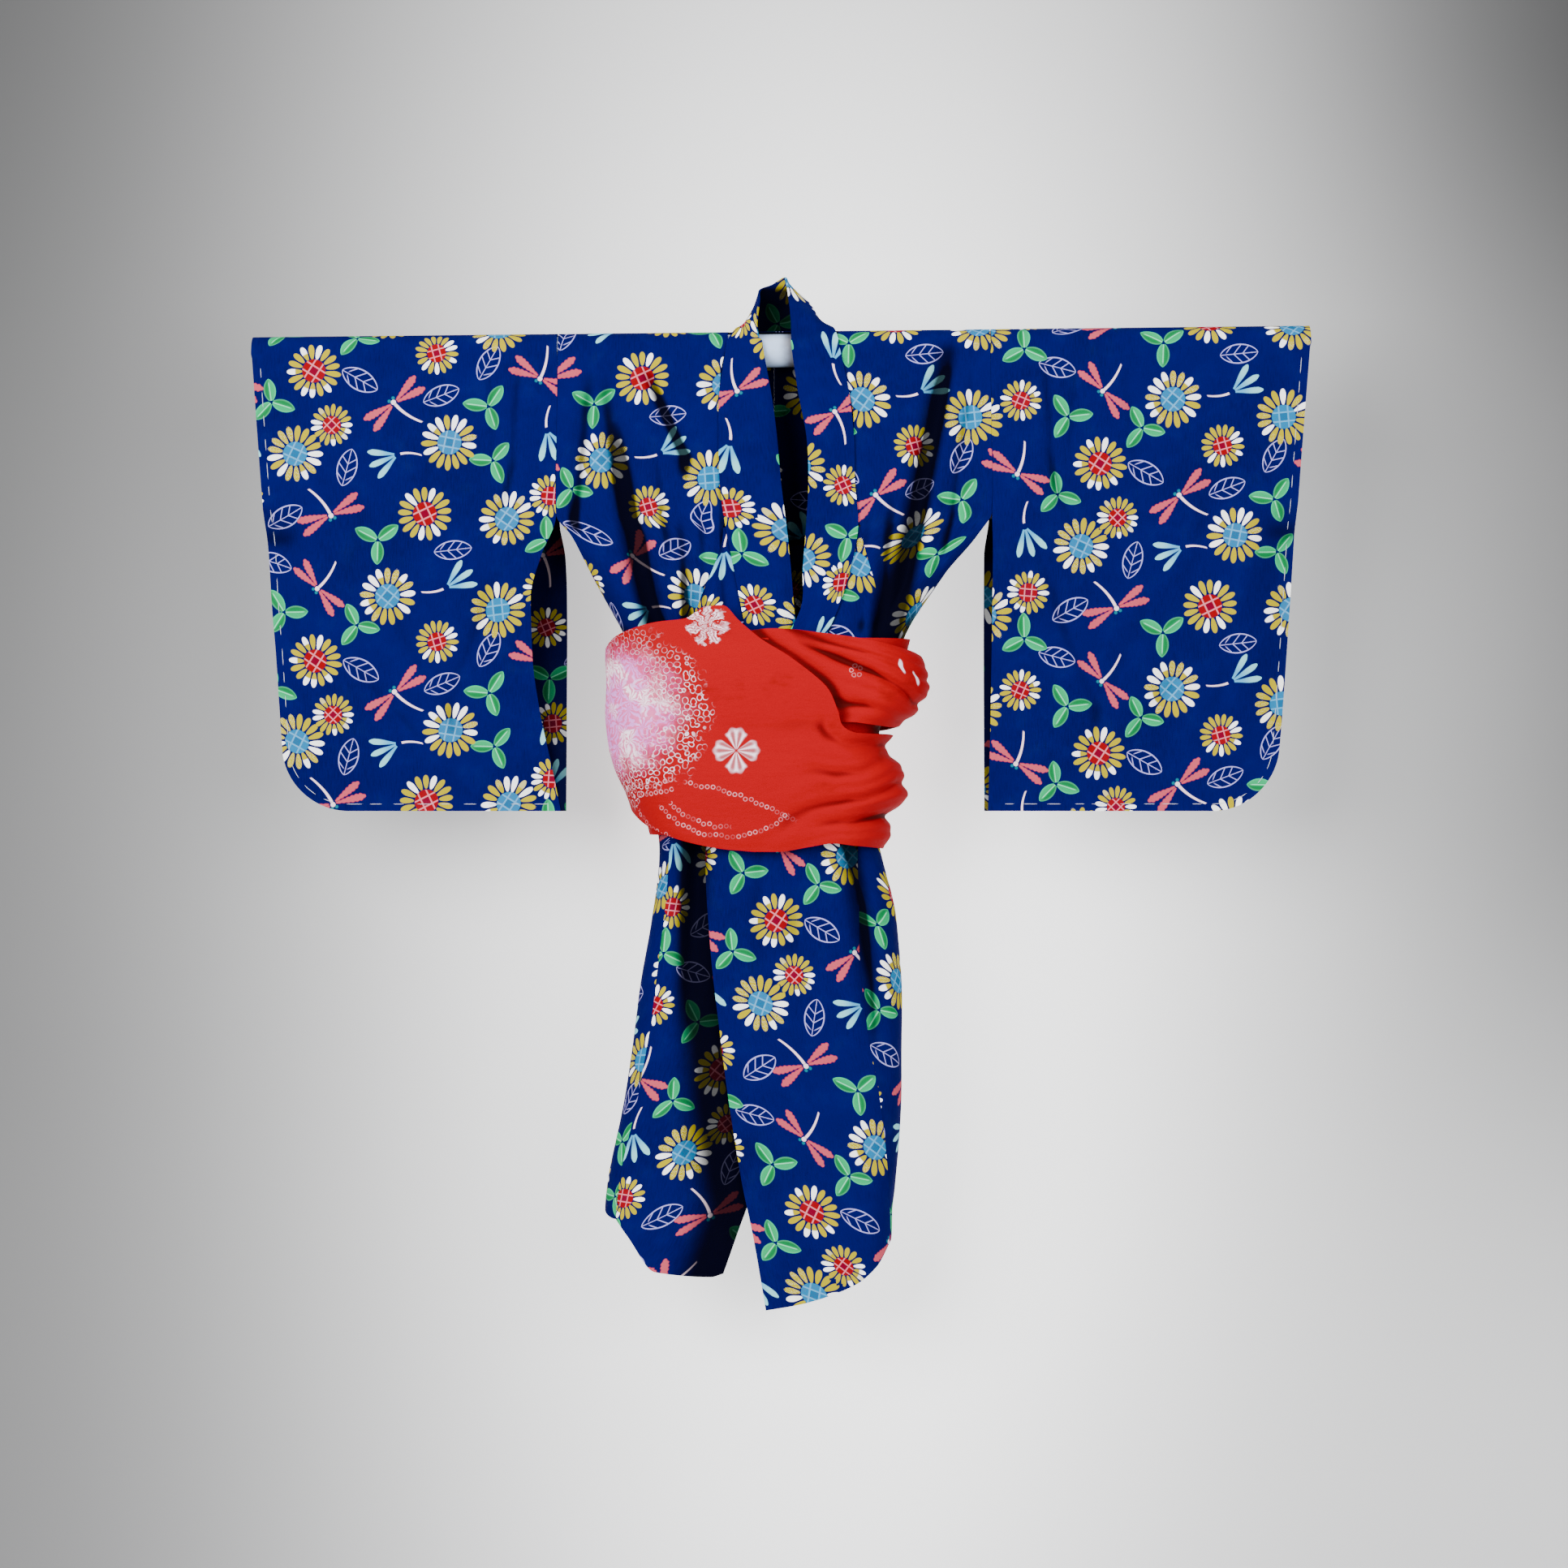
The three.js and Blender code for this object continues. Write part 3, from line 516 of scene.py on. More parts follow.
def spaced(start, end, step):
    # even rows from start to end, about a step apart
    return np.linspace(start, end, max(int(abs(end - start) / step), 1) + 1)


# Surfaces. Every wall is an outer grid, the same grid moved in by the thickness, and strips round its edges.

def gridFaces(wide, tall, ringed):
    # corners of the outer cells, the inner cells and the edge strips, as places in outer then inner points
    half = wide * tall
    cells = np.arange(wide if ringed else wide - 1)
    i, j = np.meshgrid(cells, np.arange(tall - 1), indexing="ij")
    here, beyond = (i * tall + j).ravel(), (((i + 1) % wide) * tall + j).ravel()
    outer = np.stack([here, here + 1, beyond + 1, beyond], 1)
    inner = np.stack([here, beyond, beyond + 1, here + 1], 1) + half
    a, b = cells * tall, ((cells + 1) % wide) * tall
    top = np.stack([a, b, b + half, a + half], 1)
    foot = np.stack([a, a + half, b + half, b], 1) + tall - 1
    strips = [top, foot]
    if not ringed:
        k = np.arange(tall - 1)
        end = (wide - 1) * tall
        strips.append(np.stack([k, k + half, k + half + 1, k + 1], 1))
        strips.append(np.stack([k, k + 1, k + half + 1, k + half], 1) + end)
    return outer, inner, np.concatenate(strips)


def blurred(grid, cells, ringed):
    # the mean over a window of cells each way, with the edges repeated
    for axis, wraps in ((0, ringed), (1, False)):
        pad = [(cells + 1, cells) if k == axis else (0, 0) for k in range(3)]
        sums = np.cumsum(np.pad(grid, pad, mode="wrap" if wraps else "edge"), axis)
        count = grid.shape[axis]
        high = np.take(sums, np.arange(count) + 2 * cells + 1, axis)
        grid = (high - np.take(sums, np.arange(count), axis)) / (2 * cells + 1)
    return grid


# probe: the share of a cell over which slopes are taken. broadest: a face wider than this, in lengths
# across the cloth, lies where a closed turn meets itself.
wallLook = {"probe": 0.2, "broadest": 100, "smallest": 1e-9, "windows": (3, 8)}


def placed(name, data):
    # an object in the scene for a mesh, a lamp or a camera
    made = bpy.data.objects.new(name, data)
    bpy.context.scene.collection.objects.link(made)
    return made


def wall(name, pointAt, across, down, thickness, clothAt, girth=0, windows=wallLook["windows"], shadeAt=None,
         wrongSideShade=1):
    # outer points from pointAt(u, v), inner ones the thickness down the normal, which is the cross product
    # of the slopes; a girth, the length once round, closes the wall to a ring
    ringed = girth > 0
    u, v = np.meshgrid(across, down, indexing="ij")
    stepU, stepV = (across[1] - across[0]) * wallLook["probe"], (down[1] - down[0]) * wallLook["probe"]
    outerPoints = pointAt(u, v)
    alongU = pointAt(u + stepU, v) - pointAt(u - stepU, v)
    alongV = pointAt(u, v + stepV) - pointAt(u, v - stepV)
    normal = np.cross(alongV, alongU)
    normal = normal / np.maximum(np.linalg.norm(normal, axis=-1, keepdims=True), wallLook["smallest"])
    innerPoints = outerPoints - normal * thickness
    points = np.concatenate([outerPoints.reshape(-1, 3), innerPoints.reshape(-1, 3)]) * toMetres
    outer, inner, strips = gridFaces(len(across), len(down), ringed)
    faces = np.concatenate([outer, inner, strips])
    cloth = clothAt(outerPoints, u, v).reshape(-1, 2)
    cloth = np.concatenate([cloth, cloth])[faces]
    if ringed:
        wraps = np.ptp(cloth[..., 0], axis=1) > wallLook["broadest"]
        behind = wraps[:, None] & (cloth[..., 0] < 0)
        cloth[..., 0][behind] += girth
    mesh = bpy.data.meshes.new(name)
    mesh.from_pydata(points.tolist(), [], faces.tolist())
    mesh.uv_layers.new(name="cloth")
    mesh.uv_layers["cloth"].data.foreach_set("uv", (cloth * toMetres).ravel())
    mesh.polygons.foreach_set("use_smooth", np.ones(len(faces), bool))
    # how far each point lies below the mean round it, over a near and a broad window: the troughs, where the
    # shaders paint shade
    troughShade = np.zeros(outerPoints.shape[:2])
    for cells in windows:
        troughShade = troughShade + ((blurred(outerPoints, cells, ringed) - outerPoints) * normal).sum(-1)
    troughShade = troughShade.ravel()
    shade = 0 * troughShade if shadeAt is None else shadeAt(outerPoints).ravel()
    shadeOutside, shadeInside = np.maximum(troughShade, 0) + shade, np.maximum(-troughShade, 0) - shade
    half = len(troughShade)
    wrong = np.full(half, float(wrongSideShade))
    # stored for the shaders as painted shade: the troughs and the drawn shade on each side, and the wrong
    # side's shade
    for kind, outside, inside in (("troughShade", shadeOutside, shadeInside), ("reverseShade", 0 * wrong, wrong)):
        store = mesh.attributes.new(kind, "FLOAT", "POINT")
        store.data.foreach_set("value", np.concatenate([outside, inside]).astype(np.float32))
    ends = np.empty(2 * len(mesh.edges), np.int32)
    mesh.edges.foreach_get("vertices", ends)
    ends = ends.reshape(-1, 2)
    rim = np.zeros(len(points), bool)
    rim[strips.ravel()] = True
    crease = rim[ends].all(1) & ((ends < half).all(1) | (ends >= half).all(1))
    mesh.attributes.new("sharp_edge", "BOOLEAN", "EDGE").data.foreach_set("value", crease)
    mesh.update()
    return placed(name, mesh), cloth


def acrossCloth(points, anchor):
    # lengths across the cloth, summed along each row and counted from its first or last point
    runs = np.linalg.norm(np.diff(points, axis=0), axis=-1)
    sums = np.concatenate([np.zeros((1, points.shape[1])), np.cumsum(runs, 0)])
    return sums - (sums[-1:] if anchor == "end" else 0)


# The print: a listed repeat of ordinary flowers, dragonflies, sprigs and leaves. Each motif has its
# place in the repeat, its turn in degrees, its size and a code that its colours are drawn from.
printRepeat = (262, 246)
motifRows = {
    "daisy": (
        (30, 30, 10, 24, 3), (67, 49, 40, 18.5, 4.5), (222, 36, 70, 23.5, 7.5), (112, 88, 20, 24, 1),
        (143, 112, 0, 18, 9.5), (243, 96, 33, 24, 6), (128, 158, 12, 23, 2.5), (22, 196, 50, 24, 5),
        (61, 212, 22, 18, 8.5), (190, 212, 5, 24.5, 4), (232, 172, 60, 18.5, 1.5),
    ),
    "dragonfly": (
        (142, 36, 25, 30, 1), (58, 150, -28, 29, 2), (196, 130, 220, 30, 3), (131, 220, -50, 28, 4),
    ),
    "halfDragonfly": ((64, 104, 15, 27, 1), (198, 86, -70, 26, 2), (241, 218, 120, 27, 3)),
    "sprig": (
        (64, 10, 0, 21, 1), (182, 14, 60, 21, 2), (18, 80, 200, 20, 3), (14, 126, 80, 21, 4),
        (92, 132, 250, 20, 5), (101, 198, 30, 21, 6), (164, 188, 140, 20, 7),
    ),
    "leaf": (
        (103, 34, 30, 17, 1), (246, 4, 5, 16, 2), (156, 76, 75, 16, 3), (14, 163, 60, 16, 4),
        (167, 150, -30, 17, 5), (92, 240, -15, 16, 6), (236, 136, 20, 16, 7),
    ),
}
motifs = {kind: columns("x y turn size code", *rows) for kind, rows in motifRows.items()}


def layPrint(piece, cloth, shift):
    # each face takes the nearest motif of each kind, in sizes, and its corners their place on that motif:
    # the offset from its centre, turned back by its angle and divided by its size
    repeat = np.array(printRepeat, float)
    place = cloth + np.array(shift, float)
    centre = place.mean(1)
    for kind, rows in motifs.items():
        spots = np.stack([rows["x"], rows["y"]], 1)
        off = np.mod(centre[:, None] - spots[None] + repeat / 2, repeat) - repeat / 2
        nearest = np.argmin(np.linalg.norm(off, axis=-1) / rows["size"][None], axis=1)
        anchor = centre - off[np.arange(len(off)), nearest]
        angle = np.radians(rows["turn"][nearest])[:, None]
        local = (place - anchor[:, None]) / rows["size"][nearest][:, None, None]
        x = local[..., 0] * np.cos(angle) + local[..., 1] * np.sin(angle)
        y = local[..., 1] * np.cos(angle) - local[..., 0] * np.sin(angle)
        code = np.repeat(rows["code"][nearest][:, None], 4, 1)
        values = np.stack([x, y, code], -1).astype(np.float32)
        store = piece.data.attributes.new(kind, "FLOAT_VECTOR", "CORNER")
        store.data.foreach_set("vector", values.ravel())


# Shader maths.

class Flow:
    # a number flowing between shader nodes: Python's operators add Math nodes
    def __init__(self, paint, socket):
        self.paint = paint
        self.socket = socket

    def __neg__(self):
        return self * -1

    def __abs__(self):
        return self.paint.maths("ABSOLUTE", self)


def addOperator(sign, operation):
    # the operator and its reflected form, in which the other value comes first
    setattr(Flow, f"__{sign}__", lambda self, other: self.paint.maths(operation, self, other))
    setattr(Flow, f"__r{sign}__", lambda self, other: self.paint.maths(operation, other, self))


for sign, operation in (("add", "ADD"), ("sub", "SUBTRACT"), ("mul", "MULTIPLY"), ("truediv", "DIVIDE"),
                        ("pow", "POWER")):
    addOperator(sign, operation)


class Paint:
    # one material's node tree
    def __init__(self, name):
        self.material = bpy.data.materials.new(name)
        self.material.use_nodes = True
        self.tree = self.material.node_tree
        self.shader = self.tree.nodes["Principled BSDF"]

    def node(self, kind, settings=None, sockets=None):
        # any node: its settings first, then the values or links of its sockets
        made = self.tree.nodes.new(kind)
        for setting, value in (settings or {}).items():
            setattr(made, setting, value)
        for key, value in (sockets or {}).items():
            self.feed(made.inputs[key], value)
        return made

    def feed(self, socket, value):
        if isinstance(value, Flow):
            value = value.socket
        if isinstance(value, bpy.types.NodeSocket):
            self.tree.links.new(value, socket)
        else:
            socket.default_value = value

    def maths(self, operation, *values):
        made = self.node("ShaderNodeMath", {"operation": operation}, dict(enumerate(values)))
        return Flow(self, made.outputs[0])

    def smooth(self, value, low, high):
        # 0 at low, 1 at high, an even S between
        sockets = {"Value": value, "From Min": low, "From Max": high}
        made = self.node("ShaderNodeMapRange", {"interpolation_type": "SMOOTHSTEP"}, sockets)
        return Flow(self, made.outputs["Result"])

    def below(self, value, full, gone):
        # 1 at full, 0 at gone
        return 1 - self.smooth(value, full, gone)

    def highest(self, first, second):
        return self.maths("MAXIMUM", first, second)

    def lowest(self, first, second):
        return self.maths("MINIMUM", first, second)

    def length(self, x, y):
        # the root of the sum of the squares
        return self.maths("SQRT", x * x + y * y)

    def turnOf(self, x, y):
        # the angle of a place round the middle, from -pi to pi
        return self.maths("ARCTAN2", y, x)

    def blend(self, share, first, second):
        # the second colour over the first, by the share
        made = self.node("ShaderNodeMix", {"data_type": "RGBA"}, {0: share, 6: first, 7: second})
        return made.outputs[2]

    def between(self, share, first, second):
        # the same for vectors
        made = self.node("ShaderNodeMix", {"data_type": "VECTOR"}, {0: share, 4: first, 5: second})
        return made.outputs[1]

    def noise(self, vector, scale, detail=3):
        sockets = {"Vector": vector, "Scale": scale, "Detail": detail, "Roughness": 0.55}
        return Flow(self, self.node("ShaderNodeTexNoise", None, sockets).outputs["Fac"])

    def split(self, vector):
        made = self.node("ShaderNodeSeparateXYZ", None, {0: vector})
        return [Flow(self, made.outputs[i]) for i in range(3)]

    def grey(self, value):
        return self.node("ShaderNodeCombineXYZ", None, {0: value, 1: value, 2: value}).outputs[0]

    def cloth(self):
        # lengths across and down the cloth, in metres
        return self.node("ShaderNodeUVMap", {"uv_map": "cloth"}).outputs[0]

    def place(self):
        return self.node("ShaderNodeTexCoord").outputs["Object"]

    def attribute(self, name):
        return self.node("ShaderNodeAttribute", {"attribute_name": name}).outputs["Vector"]

    def amount(self, name):
        return Flow(self, self.node("ShaderNodeAttribute", {"attribute_name": name}).outputs["Fac"])

    def stretched(self, vector, x, y):
        # places scaled across and down, so that a pattern on them grows long where the scale is small
        return self.node("ShaderNodeMapping", None, {"Vector": vector, "Scale": (x, y, 1)}).outputs[0]

    def chance(self, value):
        # a scattered number from 0 to 1 for each whole value: the fraction of a large multiple of a sine
        return self.maths("FRACT", self.maths("SINE", value * 12.9898) * 437.585)

    def finish(self, colour, roughness, bump=None, strength=0.3, distance=0.0006, specular=0.06):
        # colour, roughness and a bump, whose distance is its height in metres, into the shader
        self.feed(self.shader.inputs["Base Color"], colour)
        self.feed(self.shader.inputs["Roughness"], roughness)
        self.shader.inputs["Specular IOR Level"].default_value = specular
        if bump is not None:
            sockets = {"Height": bump, "Strength": strength, "Distance": distance}
            made = self.node("ShaderNodeBump", None, sockets)
            self.feed(self.shader.inputs["Normal"], made.outputs[0])
        return self.material


def leafShape(paint, x, y, start, angle, length, width):
    # how far along a leaf a point lies, how far off its rib, and its half width there
    c, s = math.cos(math.radians(angle)), math.sin(math.radians(angle))
    dx, dy = x - start[0], y - start[1]
    along = (dx * c + dy * s) / length
    off = dy * c - dx * s
    arch = paint.highest(along * (1 - along) * 4, 0.0)
    return along, off, arch ** 0.72 * width


# Colours of the print, and the shadow ink for painted shade, as linear light.
inks = {
    "ground": (0.0, 0.0002, 0.066, 1),
    "groundDeep": (0.0, 0.0001, 0.036, 1),
    "shadow": (0.0, 0.0, 0.001, 1),
    "white": (0.97, 0.97, 0.96, 1),
    "yellow": (0.36, 0.285, 0.0, 1),
    "red": (0.21, 0.0, 0.003, 1),
    "blush": (0.6, 0.16, 0.2, 1),
    "pink": (0.42, 0.06, 0.085, 1),
    "rose": (0.24, 0.012, 0.025, 1),
    "blue": (0.0, 0.14, 0.3, 1),
    "sky": (0.07, 0.3, 0.5, 1),
    "pale": (0.2, 0.52, 0.56, 1),
    "green": (0.0, 0.14, 0.035, 1),
    "mint": (0.0, 0.3, 0.1, 1),
    "mintPale": (0.14, 0.55, 0.3, 1),
    "lilac": (0.3, 0.28, 0.58, 1),
    "tail": (0.8, 0.6, 0.66, 1),
    "teal": (0.0, 0.12, 0.16, 1),
}


leafLook = {"start": (-1, 0), "length": 2, "width": 0.5, "rim": (0.02, 0.045), "rib": (0.01, 0.03),
            "veins": 4.2, "veinLean": 0.45, "veinHalf": (0.03, 0.1), "firstVein": (0.14, 0.2),
            "lastVein": (0.8, 0.86)}


def paintLeaves(paint, colour):
    # outlined leaves: a rim at the half width, a rib and slanting veins that repeat along it
    look = leafLook
    x, y, _ = paint.split(paint.attribute("leaf"))
    along, off, width = leafShape(paint, x, y, look["start"], 0, look["length"], look["width"])
    away = abs(off)
    rim = paint.below(abs(away - width), *look["rim"])
    inside = paint.smooth(width - away, -0.01, 0.03)
    rib = paint.below(away, *look["rib"])
    phase = paint.maths("FRACT", (along - away * look["veinLean"]) * look["veins"])
    veins = paint.below(abs(phase - 0.5), *look["veinHalf"])
    veins = veins * paint.smooth(along, *look["firstVein"]) * paint.below(along, *look["lastVein"])
    lines = paint.highest(rim, inside * paint.highest(rib, veins))
    onLeaf = paint.smooth(along, -0.01, 0.0) * paint.below(along, 1.0, 1.01)
    return paint.blend(lines * onLeaf, colour, inks["lilac"])


sprigLook = {"leaves": ((92, 1.05), (208, 1.0), (-24, 1.02)), "width": 0.27, "halves": (-0.1, 0.12),
             "edge": (0.1, 0.02), "edgeShare": 0.25, "rib": (0.012, 0.035), "ribEnd": (0.75, 0.9)}


def paintSprigs(paint, colour):
    # three leaves from one point: one half darker, a pale rib and pale edges
    look = sprigLook
    x, y, _ = paint.split(paint.attribute("sprig"))
    for angle, length in look["leaves"]:
        along, off, width = leafShape(paint, x, y, (0, 0), angle, length, look["width"])
        green = paint.blend(paint.smooth(off, *look["halves"]), inks["mint"], inks["green"])
        edge = paint.smooth(width - abs(off), *look["edge"])
        rib = paint.below(abs(off), *look["rib"]) * paint.below(along, *look["ribEnd"])
        green = paint.blend(paint.highest(rib, edge * look["edgeShare"]), green, inks["mintPale"])
        mask = paint.smooth(width - abs(off), -0.005, 0.025) * paint.smooth(along, 0.05, 0.07)
        colour = paint.blend(mask * paint.below(along, 0.99, 1.0), colour, green)
    return colour


wingLook = {"root": 0.35, "flare": (0.05, 0.72), "blunt": 6, "scallops": 24}


def wing(paint, x, y, start, angle, length, width, scallop):
    # a slim club: narrow at the body, widest near its round tip; the sum is above 0 inside
    look = wingLook
    along, off, _ = leafShape(paint, x, y, start, angle, length, 0)
    flare = look["root"] + (1 - look["root"]) * paint.smooth(along, *look["flare"])
    tip = paint.maths("SQRT", paint.highest((1 - along) * look["blunt"], 0.0))
    club = width * flare * paint.lowest(tip, 1.0)
    club = club * (1 - scallop + scallop * abs(paint.maths("SINE", along * look["scallops"])))
    inside = club - abs(off)
    mask = paint.smooth(inside, -0.008, 0.02) * paint.smooth(along, 0.1, 0.12)
    return mask * paint.below(along, 0.985, 1.0), inside, along


def tail(paint, x, y, curve, first, last, width):
    # a thin parabola from first to last, which narrows on the way
    bend = x + y * y * curve
    thin = width * (1 - 0.35 * y)
    mask = paint.smooth(thin - abs(bend), -0.008, 0.014)
    return mask * paint.smooth(y, first, first + 0.03) * paint.below(y, last, last + 0.04)


insectLook = {
    "fan": (-60, -88, -116), "fanRoot": (0, 0.04), "fanWing": (1.0, 0.1, 0.0), "fanPale": (0.3, 0.75),
    "fanTail": (-0.5, 0.12, 0.74, 0.042),
    "pairs": (14, -12, 166, 192), "pairWing": (0.98, 0.122, 0.22), "pairEdge": (0.03, 0.0),
    "pairTail": (0.3, 0.03, 0.9, 0.046),
    "headY": -0.03, "head": (0.06, 0.08), "eyes": (0.07, -0.13), "eye": (0.035, 0.06),
}


def paintInsects(paint, colour):
    # light-blue ones: a fan of three wings and a pale tail
    look = insectLook
    x, y, _ = paint.split(paint.attribute("halfDragonfly"))
    for angle in look["fan"]:
        mask, _, along = wing(paint, x, y, look["fanRoot"], angle, *look["fanWing"])
        wingColour = paint.blend(paint.smooth(along, *look["fanPale"]), inks["sky"], inks["pale"])
        colour = paint.blend(mask, colour, wingColour)
    colour = paint.blend(tail(paint, x, y, *look["fanTail"]), colour, inks["tail"])
    # dragonflies: two pairs of scalloped wings in line, a curved tail, a head and two small eyes
    x, y, _ = paint.split(paint.attribute("dragonfly"))
    for angle in look["pairs"]:
        mask, inside, _ = wing(paint, x, y, (0, 0), angle, *look["pairWing"])
        wingColour = paint.blend(paint.smooth(inside, *look["pairEdge"]), inks["pink"], inks["rose"])
        colour = paint.blend(mask, colour, wingColour)
    colour = paint.blend(tail(paint, x, y, *look["pairTail"]), colour, inks["tail"])
    head = paint.length(x, y - look["headY"])
    colour = paint.blend(paint.below(head, *look["head"]), colour, inks["tail"])
    eyes = paint.length(abs(x) - look["eyes"][0], y - look["eyes"][1])
    return paint.blend(paint.below(eyes, *look["eye"]), colour, inks["teal"])


daisyLook = {"petals": 17.0, "middle": 0.71, "reach": 0.275, "uneven": 0.05, "narrow": 0.074,
             "broader": 0.038, "broadens": (0.45, 0.85), "edge": (0.8, 1.15), "twoToned": 0.56,
             "white": 0.68, "tip": (0.66, 0.72), "disc": (0.41, 0.44), "square": (0.12, 0.14),
             "lattice": 0.16, "line": (0.018, 0.036)}


def paintDaisies(paint, colour):
    # yellow and white petals, each a rounded box in distance and angle, round a latticed disc
    look = daisyLook
    x, y, code = paint.split(paint.attribute("daisy"))
    far = paint.length(x, y)
    turn = (paint.turnOf(x, y) / (2 * math.pi) + 0.5) * look["petals"]
    count = paint.maths("FLOOR", turn)
    seed = paint.maths("FLOOR", code)
    luck = paint.chance(count + seed * 3.7)
    side = abs(turn - count - 0.5) * (2 * math.pi / look["petals"]) * far
    reach = look["reach"] + (paint.chance(count * 1.9 + seed) - 0.5) * look["uneven"]
    broad = look["narrow"] + look["broader"] * paint.smooth(far, *look["broadens"])
    petal = (abs(far - look["middle"]) / reach) ** 2.5 + (side / broad) ** 2.2
    mask = paint.below(petal, *look["edge"])
    twoToned = paint.smooth(luck, look["twoToned"], look["twoToned"] + 0.01)
    whiteShare = paint.highest(paint.smooth(luck, look["white"], look["white"] + 0.01),
                               twoToned * paint.smooth(far, *look["tip"]))
    colour = paint.blend(mask, colour, paint.blend(whiteShare, inks["yellow"], inks["white"]))
    isRed = paint.smooth(code - seed, 0.2, 0.3)
    disc = paint.blend(isRed, inks["blue"], inks["red"])
    lattice = paint.blend(isRed, inks["sky"], inks["blush"])
    a, b = abs((x + y) * math.sqrt(0.5)), abs((x - y) * math.sqrt(0.5))
    middle = paint.below(paint.highest(a, b), *look["square"])
    disc = paint.blend(middle * 0.3, disc, inks["groundDeep"])
    lines = paint.highest(paint.below(abs(a - look["lattice"]), *look["line"]),
                          paint.below(abs(b - look["lattice"]), *look["line"]))
    disc = paint.blend(lines * 0.9, disc, lattice)
    return paint.blend(paint.below(far, *look["disc"]), colour, disc)


cottonLook = {"worn": 0.015, "wornTint": (0.2, 0.25, 0.6, 1), "creases": 2.4, "creaseShade": 0.95,
              "wrongSideShade": 0.8, "rough": (0.82, 0.12), "weave": (0.35, 0.0005)}


def printedCotton(name):
    # a slubbed ground, the motifs over it, then wear and the shade of creases and of the wrong side
    look, paint = cottonLook, Paint(name)
    cloth = paint.cloth()
    slub = paint.noise(paint.stretched(cloth, 1, 0.12), 900, 2)
    broad = paint.noise(cloth, 9, 3)
    even = paint.smooth(broad * 0.5 + slub * 0.5, 0.2, 0.6)
    colour = paint.blend(even, inks["groundDeep"], inks["ground"])
    for painted in (paintLeaves, paintSprigs, paintInsects, paintDaisies):
        colour = painted(paint, colour)
    worn = paint.smooth(paint.noise(cloth, 45, 4), 0.4, 0.85)
    colour = paint.blend(worn * look["worn"], colour, look["wornTint"])
    # painted shade: the colour darkens towards the shadow ink in the creases, where shade is drawn, and on
    # the wrong side, which lies in shade inside the garment
    deep = paint.smooth(paint.amount("troughShade"), 0.0, look["creases"]) * look["creaseShade"]
    deep = paint.highest(deep, paint.amount("reverseShade") * look["wrongSideShade"])
    colour = paint.blend(deep, colour, inks["shadow"])
    weave = paint.noise(cloth, 1400, 1) + paint.noise(cloth, 260, 3) * 1.2
    rough = look["rough"][0] + slub * look["rough"][1]
    return paint.finish(colour, rough, weave, *look["weave"], specular=0.03)


sashLook = {
    "red": (0.28, 0.0, 0.003, 1),
    "deepRed": (0.17, 0.0, 0.0, 1),
    "shadeRed": (0.02, 0.0, 0.0, 1),
    "white": (0.96, 0.76, 0.86, 1),
    "pink": (0.66, 0.1, 0.26, 1),
    "rose": (0.46, 0.02, 0.08, 1),
    "lilac": (0.68, 0.24, 0.66, 1),
    "thread": (0.9, 0.45, 0.5, 1),
    "creases": 2.6, "creaseShade": 0.85, "bump": (0.4, 0.0018),
}
# The tied mass: its middle and half size in mm, its puckers and the net of rings, in cells to the metre.
massLook = {"x": -152, "z": -308, "wide": 80, "tall": 66, "ragged": 0.5, "puckers": 62.0, "pleats": 9,
            "bend": (90.0, 0.012), "inside": (0.62, 0.98), "net": 175.0, "netBend": 0.3, "netEven": 0.7,
            "ring": 0.44, "ringWide": (0.01, 0.085), "inner": (0.5, 0.8), "outer": (1.08, 1.22)}
# Chains of little tied rings, as arcs: centre, radius, first and last angle in degrees, in millimetres.
chains = columns(
    "x z radius start end",
    (-120, -633, 268, 60, 81),
    (-45, -334, 79, 222, 310),
    (-45, -334, 71, 226, 272),
    (-90, -370, 43, 208, 264),
    (-115, -300, 70, 250, 292),
    (-115, -300, 77, 246, 288),
    (63, -274, 4, 0, 340),
)
chainLook = {"step": 4.8, "sway": 2.2, "ring": 1.6, "line": (0.1, 0.6), "dim": 0.1, "bright": 0.65}
# Pleated flowers: place, size, lobes, gap between them and how far they are turned.
burstForm, fansForm = ((-62, -236), 19, 7, 0.35, 0.1), ((-37.6, -341), 21, 4, 0.32, 0.125)
spots = {"places": ((104, -270), (120, -280)), "lean": 0.35, "wide": 2.4, "tall": 6.5}


